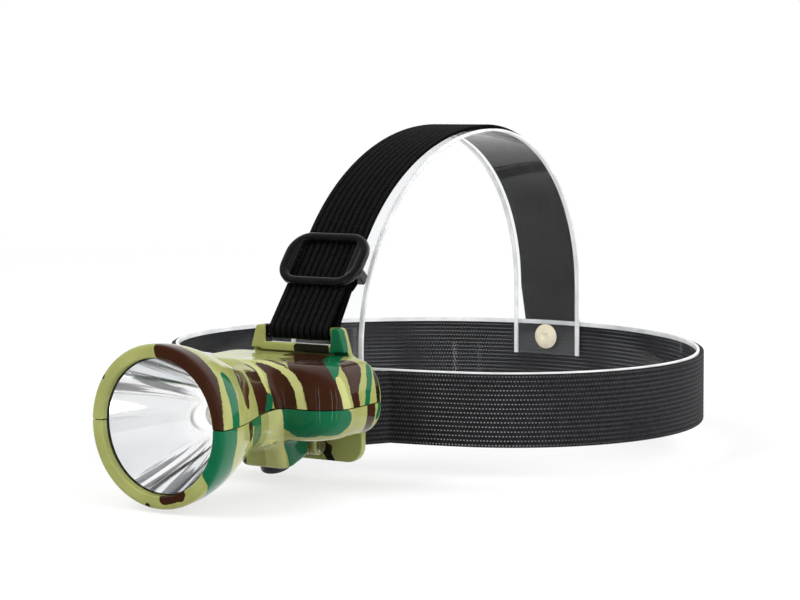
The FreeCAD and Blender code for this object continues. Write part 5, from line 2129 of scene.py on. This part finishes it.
@dataclass(frozen=True)
class StrapSlider:
    """Slider of the overhead strap."""

    finishes: Finishes
    voxel: float = 0.3
    rounds: int = 8
    cheek: Span = (11.5, 14.4)
    cheek_half: float = 8.2
    cheek_depth: Span = (0.95, 3.1)

    def cheeks(self) -> list[Piece]:
        """Build the inner lips of the rails, in front of the strap's edges.

        Returns:
            Both lips.
        """
        web = Webbing(self.finishes)
        up, front = vec(0.0, *web.up), vec(0.0, -web.up[1], web.up[0])
        middle = vec(0.0, web.bar_y, web.bar_z) + front * web.bar_wrap + up * web.slider_up
        blocks = []
        for side in (1, -1):
            near, far = sorted((side * self.cheek[0], side * self.cheek[1]))
            blocks.append(block_at("cheek", (near, -self.cheek_half, self.cheek_depth[0]),
                                   (far, self.cheek_half, self.cheek_depth[1]), middle, up, front))
        return blocks

    def build(self) -> None:
        """Make the slider."""
        piece = softened("strap_slider", "black_strap_slider", self.voxel, self.rounds, *self.cheeks())
        mount_piece(dress(piece, self.finishes.gloss_black), Body.SLIDER, "black_plastic", "strap_slider")


@dataclass(frozen=True)
class Optics:
    """Reflector, lens, seal and lamp chip."""

    finishes: Finishes
    lens_rear_y: float = -172.6
    mouth: float = 22.2
    throat: float = 4.2
    depth: float = 27.0
    power: float = 1.6
    flange: float = 24.25
    wall: float = 1.0
    back_shift: float = 0.4
    back_start: float = 2.0
    steps: int = 60

    def build(self) -> None:
        """Make the reflector and dress the other nodes."""
        inner = []
        for step in range(self.steps + 1):
            share = 1.0 - step / self.steps
            radius = self.throat + (self.mouth - self.throat) * share
            inner.append((self.depth * (1.0 - share ** self.power), radius))
        outer = [(along + self.back_shift, radius + self.wall) for along, radius in inner[::-1]
                 if along > self.back_start]
        profile = inner + [(self.depth, self.throat + self.wall)] + outer + [
            (self.wall, self.mouth + self.wall), (self.wall, self.flange), (0.0, self.flange)]
        cup = tube_ring("mirror_reflector", profile, vec(0.0, self.lens_rear_y, LAMP_AXIS_Z), BACK, 256)
        mount_piece(dress(cup, self.finishes.mirror), Body.LAMP, "reflector_mirror", "reflector")
        dress_node("front_lens", self.finishes.lens)
        dress_node("lens_seal", self.finishes.rubber)
        dress_node("led_emitter", self.finishes.chip)
        dress_node("led_board", self.finishes.white, 0.15)
        dress_node("heat_sink", self.finishes.aluminium, 0.15)


@dataclass(frozen=True)
class PowerPack:
    """Cell, contacts, boards, charging socket, switch and screws."""

    finishes: Finishes
    button_radius: float = 5.2
    button_rise: float = 3.2
    button_foot: float = -2.7
    dish: tuple[Span, ...] = ((0.9, 0.0), (0.35, 0.18), (0.08, 0.5), (0.0, 0.95), (0.12, 1.4), (0.45, 2.1),
                              (0.62, 3.4), (0.66, 5.2))
    wing_half: Span = (7.6, 2.6)
    wing_top: float = -1.7

    def button(self) -> None:
        """Make the round push button with a finger dish and a raised rim, and its retaining wings."""
        casing = Casing(self.finishes)
        out, centre = casing.face_normal(), casing.face_centre()
        side = np.cross(out, ACROSS_X)
        foot = [(self.button_foot, 0.0), (self.button_foot, self.button_radius)]
        top = [(self.button_rise - below, self.button_radius - inside) for below, inside in self.dish]
        cap = turned("cap", foot + top, centre, out, 72)
        across, along = self.wing_half
        low, high = (-across, -along, self.button_foot), (across, along, self.wing_top)
        wings = block_at("wings", low, high, centre, side, out)
        piece = joined("black_switch_button", [cap, wings])
        mount_piece(dress(piece, self.finishes.matt_black), Body.BUTTON, "black_plastic", "switch_button")

    def build(self) -> None:
        """Make the switch and dress the inner nodes."""
        self.button()
        dress_node("switch_body", self.finishes.matt_black, 0.2)
        dress_node("battery_cell", self.finishes.sleeve, 0.4)
        dress_node("positive_contact", self.finishes.nickel)
        dress_node("negative_contact", self.finishes.nickel)
        dress_node("driver_board", self.finishes.circuit, 0.1)
        dress_node("charge_socket", self.finishes.matt_black, 0.15)
        dress_node("shell_screws", self.finishes.steel, 0.2)


# Studio


@dataclass(frozen=True)
class Softbox:
    """Rectangular lamp that faces a target."""

    name: str
    place: Place
    size: Span
    watts: float
    target: Place = (0.0, -0.06, 0.04)

    def build(self) -> None:
        """Hang the lamp."""
        data = bpy.data.lights.new(self.name, "AREA")
        data.shape = "RECTANGLE"
        data.size, data.size_y = self.size
        data.energy = self.watts
        lamp = bpy.data.objects.new(self.name, data)
        lamp.location = self.place
        way = Vector(self.target) - Vector(self.place)
        lamp.rotation_euler = way.to_track_quat("-Z", "Y").to_euler()
        lamp.visible_glossy = False
        bpy.context.scene.collection.objects.link(lamp)


@dataclass(frozen=True)
class Studio:
    """Camera at the photograph's viewing angle, pale floor, plain soft light."""

    azimuth: float = 32.0
    elevation: float = 5.6
    roll: float = -0.4
    place: Place = (0.4301, -0.7211, 0.1233)
    focal: float = 100.16
    sensor: float = 36.0
    floor_z: float = -11.2
    floor_radius: float = 3000.0
    floor_corners: int = 96
    floor_colour: Colour = (0.86, 0.86, 0.86)
    floor_roughness: float = 0.9
    floor_fade: Span = (0.25, 1.2)
    floor_glow: Span = (0.7, 1.0)
    light: float = 0.55
    front_shade: float = 0.03
    back_glow: float = 1.15
    shade_end: Span = (-0.35, 0.2)
    underlight: float = 0.35
    under_end: Span = (-0.75, -0.5)
    strips: tuple[Place, ...] = ((15.0, 0.022, 5.0), (4.0, 0.02, 2.5), (59.0, 0.018, 7.0), (75.0, 0.06, 2.0))
    strip_core: float = 0.6
    strip_front: Span = (-0.2, -0.1)
    strip_level: Span = (0.3, 0.7)
    softboxes: tuple[Softbox, ...] = (Softbox("key_softbox", (-0.55, -0.75, 0.95), (0.9, 0.6), 12.0),
                                      Softbox("right_softbox", (1.15, -0.35, 0.45), (0.35, 0.9), 11.0),
                                      Softbox("back_softbox", (0.2, 0.95, 0.85), (1.1, 0.4), 9.0))

    def camera(self) -> None:
        """Set the camera."""
        turn, rise, roll = (math.radians(value) for value in (self.azimuth, self.elevation, self.roll))
        back = Vector((math.sin(turn) * math.cos(rise), -math.cos(turn) * math.cos(rise), math.sin(rise)))
        right = Vector((math.cos(turn), math.sin(turn), 0.0))
        up = back.cross(right)
        across = right * math.cos(roll) + up * math.sin(roll)
        above = up * math.cos(roll) - right * math.sin(roll)
        data = bpy.data.cameras.new("camera")
        data.sensor_width = self.sensor
        data.lens = self.focal
        camera = bpy.data.objects.new("camera", data)
        axes = Matrix((across, above, back)).transposed().to_4x4()
        camera.matrix_world = Matrix.Translation(self.place) @ axes
        bpy.context.scene.collection.objects.link(camera)
        bpy.context.scene.camera = camera

    def floor(self) -> None:
        """Pale floor that keeps a soft shadow and runs into the white background."""
        turn = np.linspace(0.0, math.tau, self.floor_corners, endpoint=False)
        rim = self.floor_radius * np.column_stack([np.cos(turn), np.sin(turn)])
        floor = mesh_object("pale_floor", lay_flat(rim, self.floor_z), [range(self.floor_corners)])
        shader = Shader("pale_floor")
        shader.set(Base_Color=self.floor_colour, Roughness=self.floor_roughness)
        glow = shader.node("Emission", {"Color": WHITE, "Strength": 1.0})
        paths = shader.node("LightPath").outputs
        seen = shader.math("MAXIMUM", paths["Is Camera Ray"], paths["Is Transmission Ray"])
        far = shader.ramp(shader.measure("LENGTH", shader.place()), *self.floor_fade, *self.floor_glow)
        share = shader.math("MULTIPLY", seen, far)
        blend = shader.node("MixShader", {0: share, 1: shader.surface.outputs[0], 2: glow.outputs[0]})
        shader.links.new(blend.outputs[0], shader.nodes["Material Output"].inputs["Surface"])
        dress(floor, shader.material)
        floor.visible_glossy = False

    def world(self) -> None:
        """Make the world white to the eye and behind the object, and darker in front in reflections."""
        world = bpy.data.worlds.new("studio")
        world.use_nodes = True
        bpy.context.scene.world = world
        tree = NodeTree(world.node_tree)
        x, y, z = tree.parts(tree.node("TexCoord").outputs["Generated"])
        room = tree.ramp(y, *self.shade_end, self.front_shade, self.back_glow)
        front = tree.ramp(y, *self.strip_front, 1.0, 0.0)
        level = tree.ramp(tree.math("ABSOLUTE", z), *self.strip_level, 1.0, 0.0)
        for azimuth, half_width, strength in self.strips:
            turn = math.radians(azimuth)
            beside = tree.math("ABSOLUTE", tree.math("ADD", tree.math("MULTIPLY", x, math.cos(turn)),
                                                     tree.math("MULTIPLY", y, math.sin(turn))))
            lit = tree.ramp(beside, self.strip_core * half_width, half_width, strength, 0.0)
            room = tree.math("MAXIMUM", room, tree.product(lit, front, level))
        below = tree.ramp(z, *self.under_end, self.underlight, 0.0)
        room = tree.math("MAXIMUM", room, below)
        paths = tree.node("LightPath").outputs
        seen = tree.math("MAXIMUM", paths["Is Camera Ray"], paths["Is Transmission Ray"])
        unseen = tree.math("SUBTRACT", 1.0, seen)
        glossy = tree.math("MULTIPLY", paths["Is Glossy Ray"], unseen)
        plain = tree.math("SUBTRACT", unseen, glossy)
        shown = tree.math("ADD", seen, tree.math("MULTIPLY", glossy, room))
        background = tree.nodes["Background"].inputs
        tree.feed(background["Color"], WHITE)
        tree.feed(background["Strength"], tree.math("ADD", shown, tree.math("MULTIPLY", plain, self.light)))

    def build(self) -> None:
        """Set up the studio."""
        self.camera()
        self.floor()
        self.world()
        for softbox in self.softboxes:
            softbox.build()
        bpy.context.scene.view_settings.view_transform = "Standard"


def main() -> None:
    """Build every sub-assembly in order."""
    logging.basicConfig(level=logging.INFO, format="%(message)s")
    Studio().build()
    finishes = Finishes()
    for assembly in (Former, Webbing, StrapSlider, BackPlate, Casing, Optics, PowerPack):
        assembly(finishes).build()


if __name__ == "__main__":
    main()
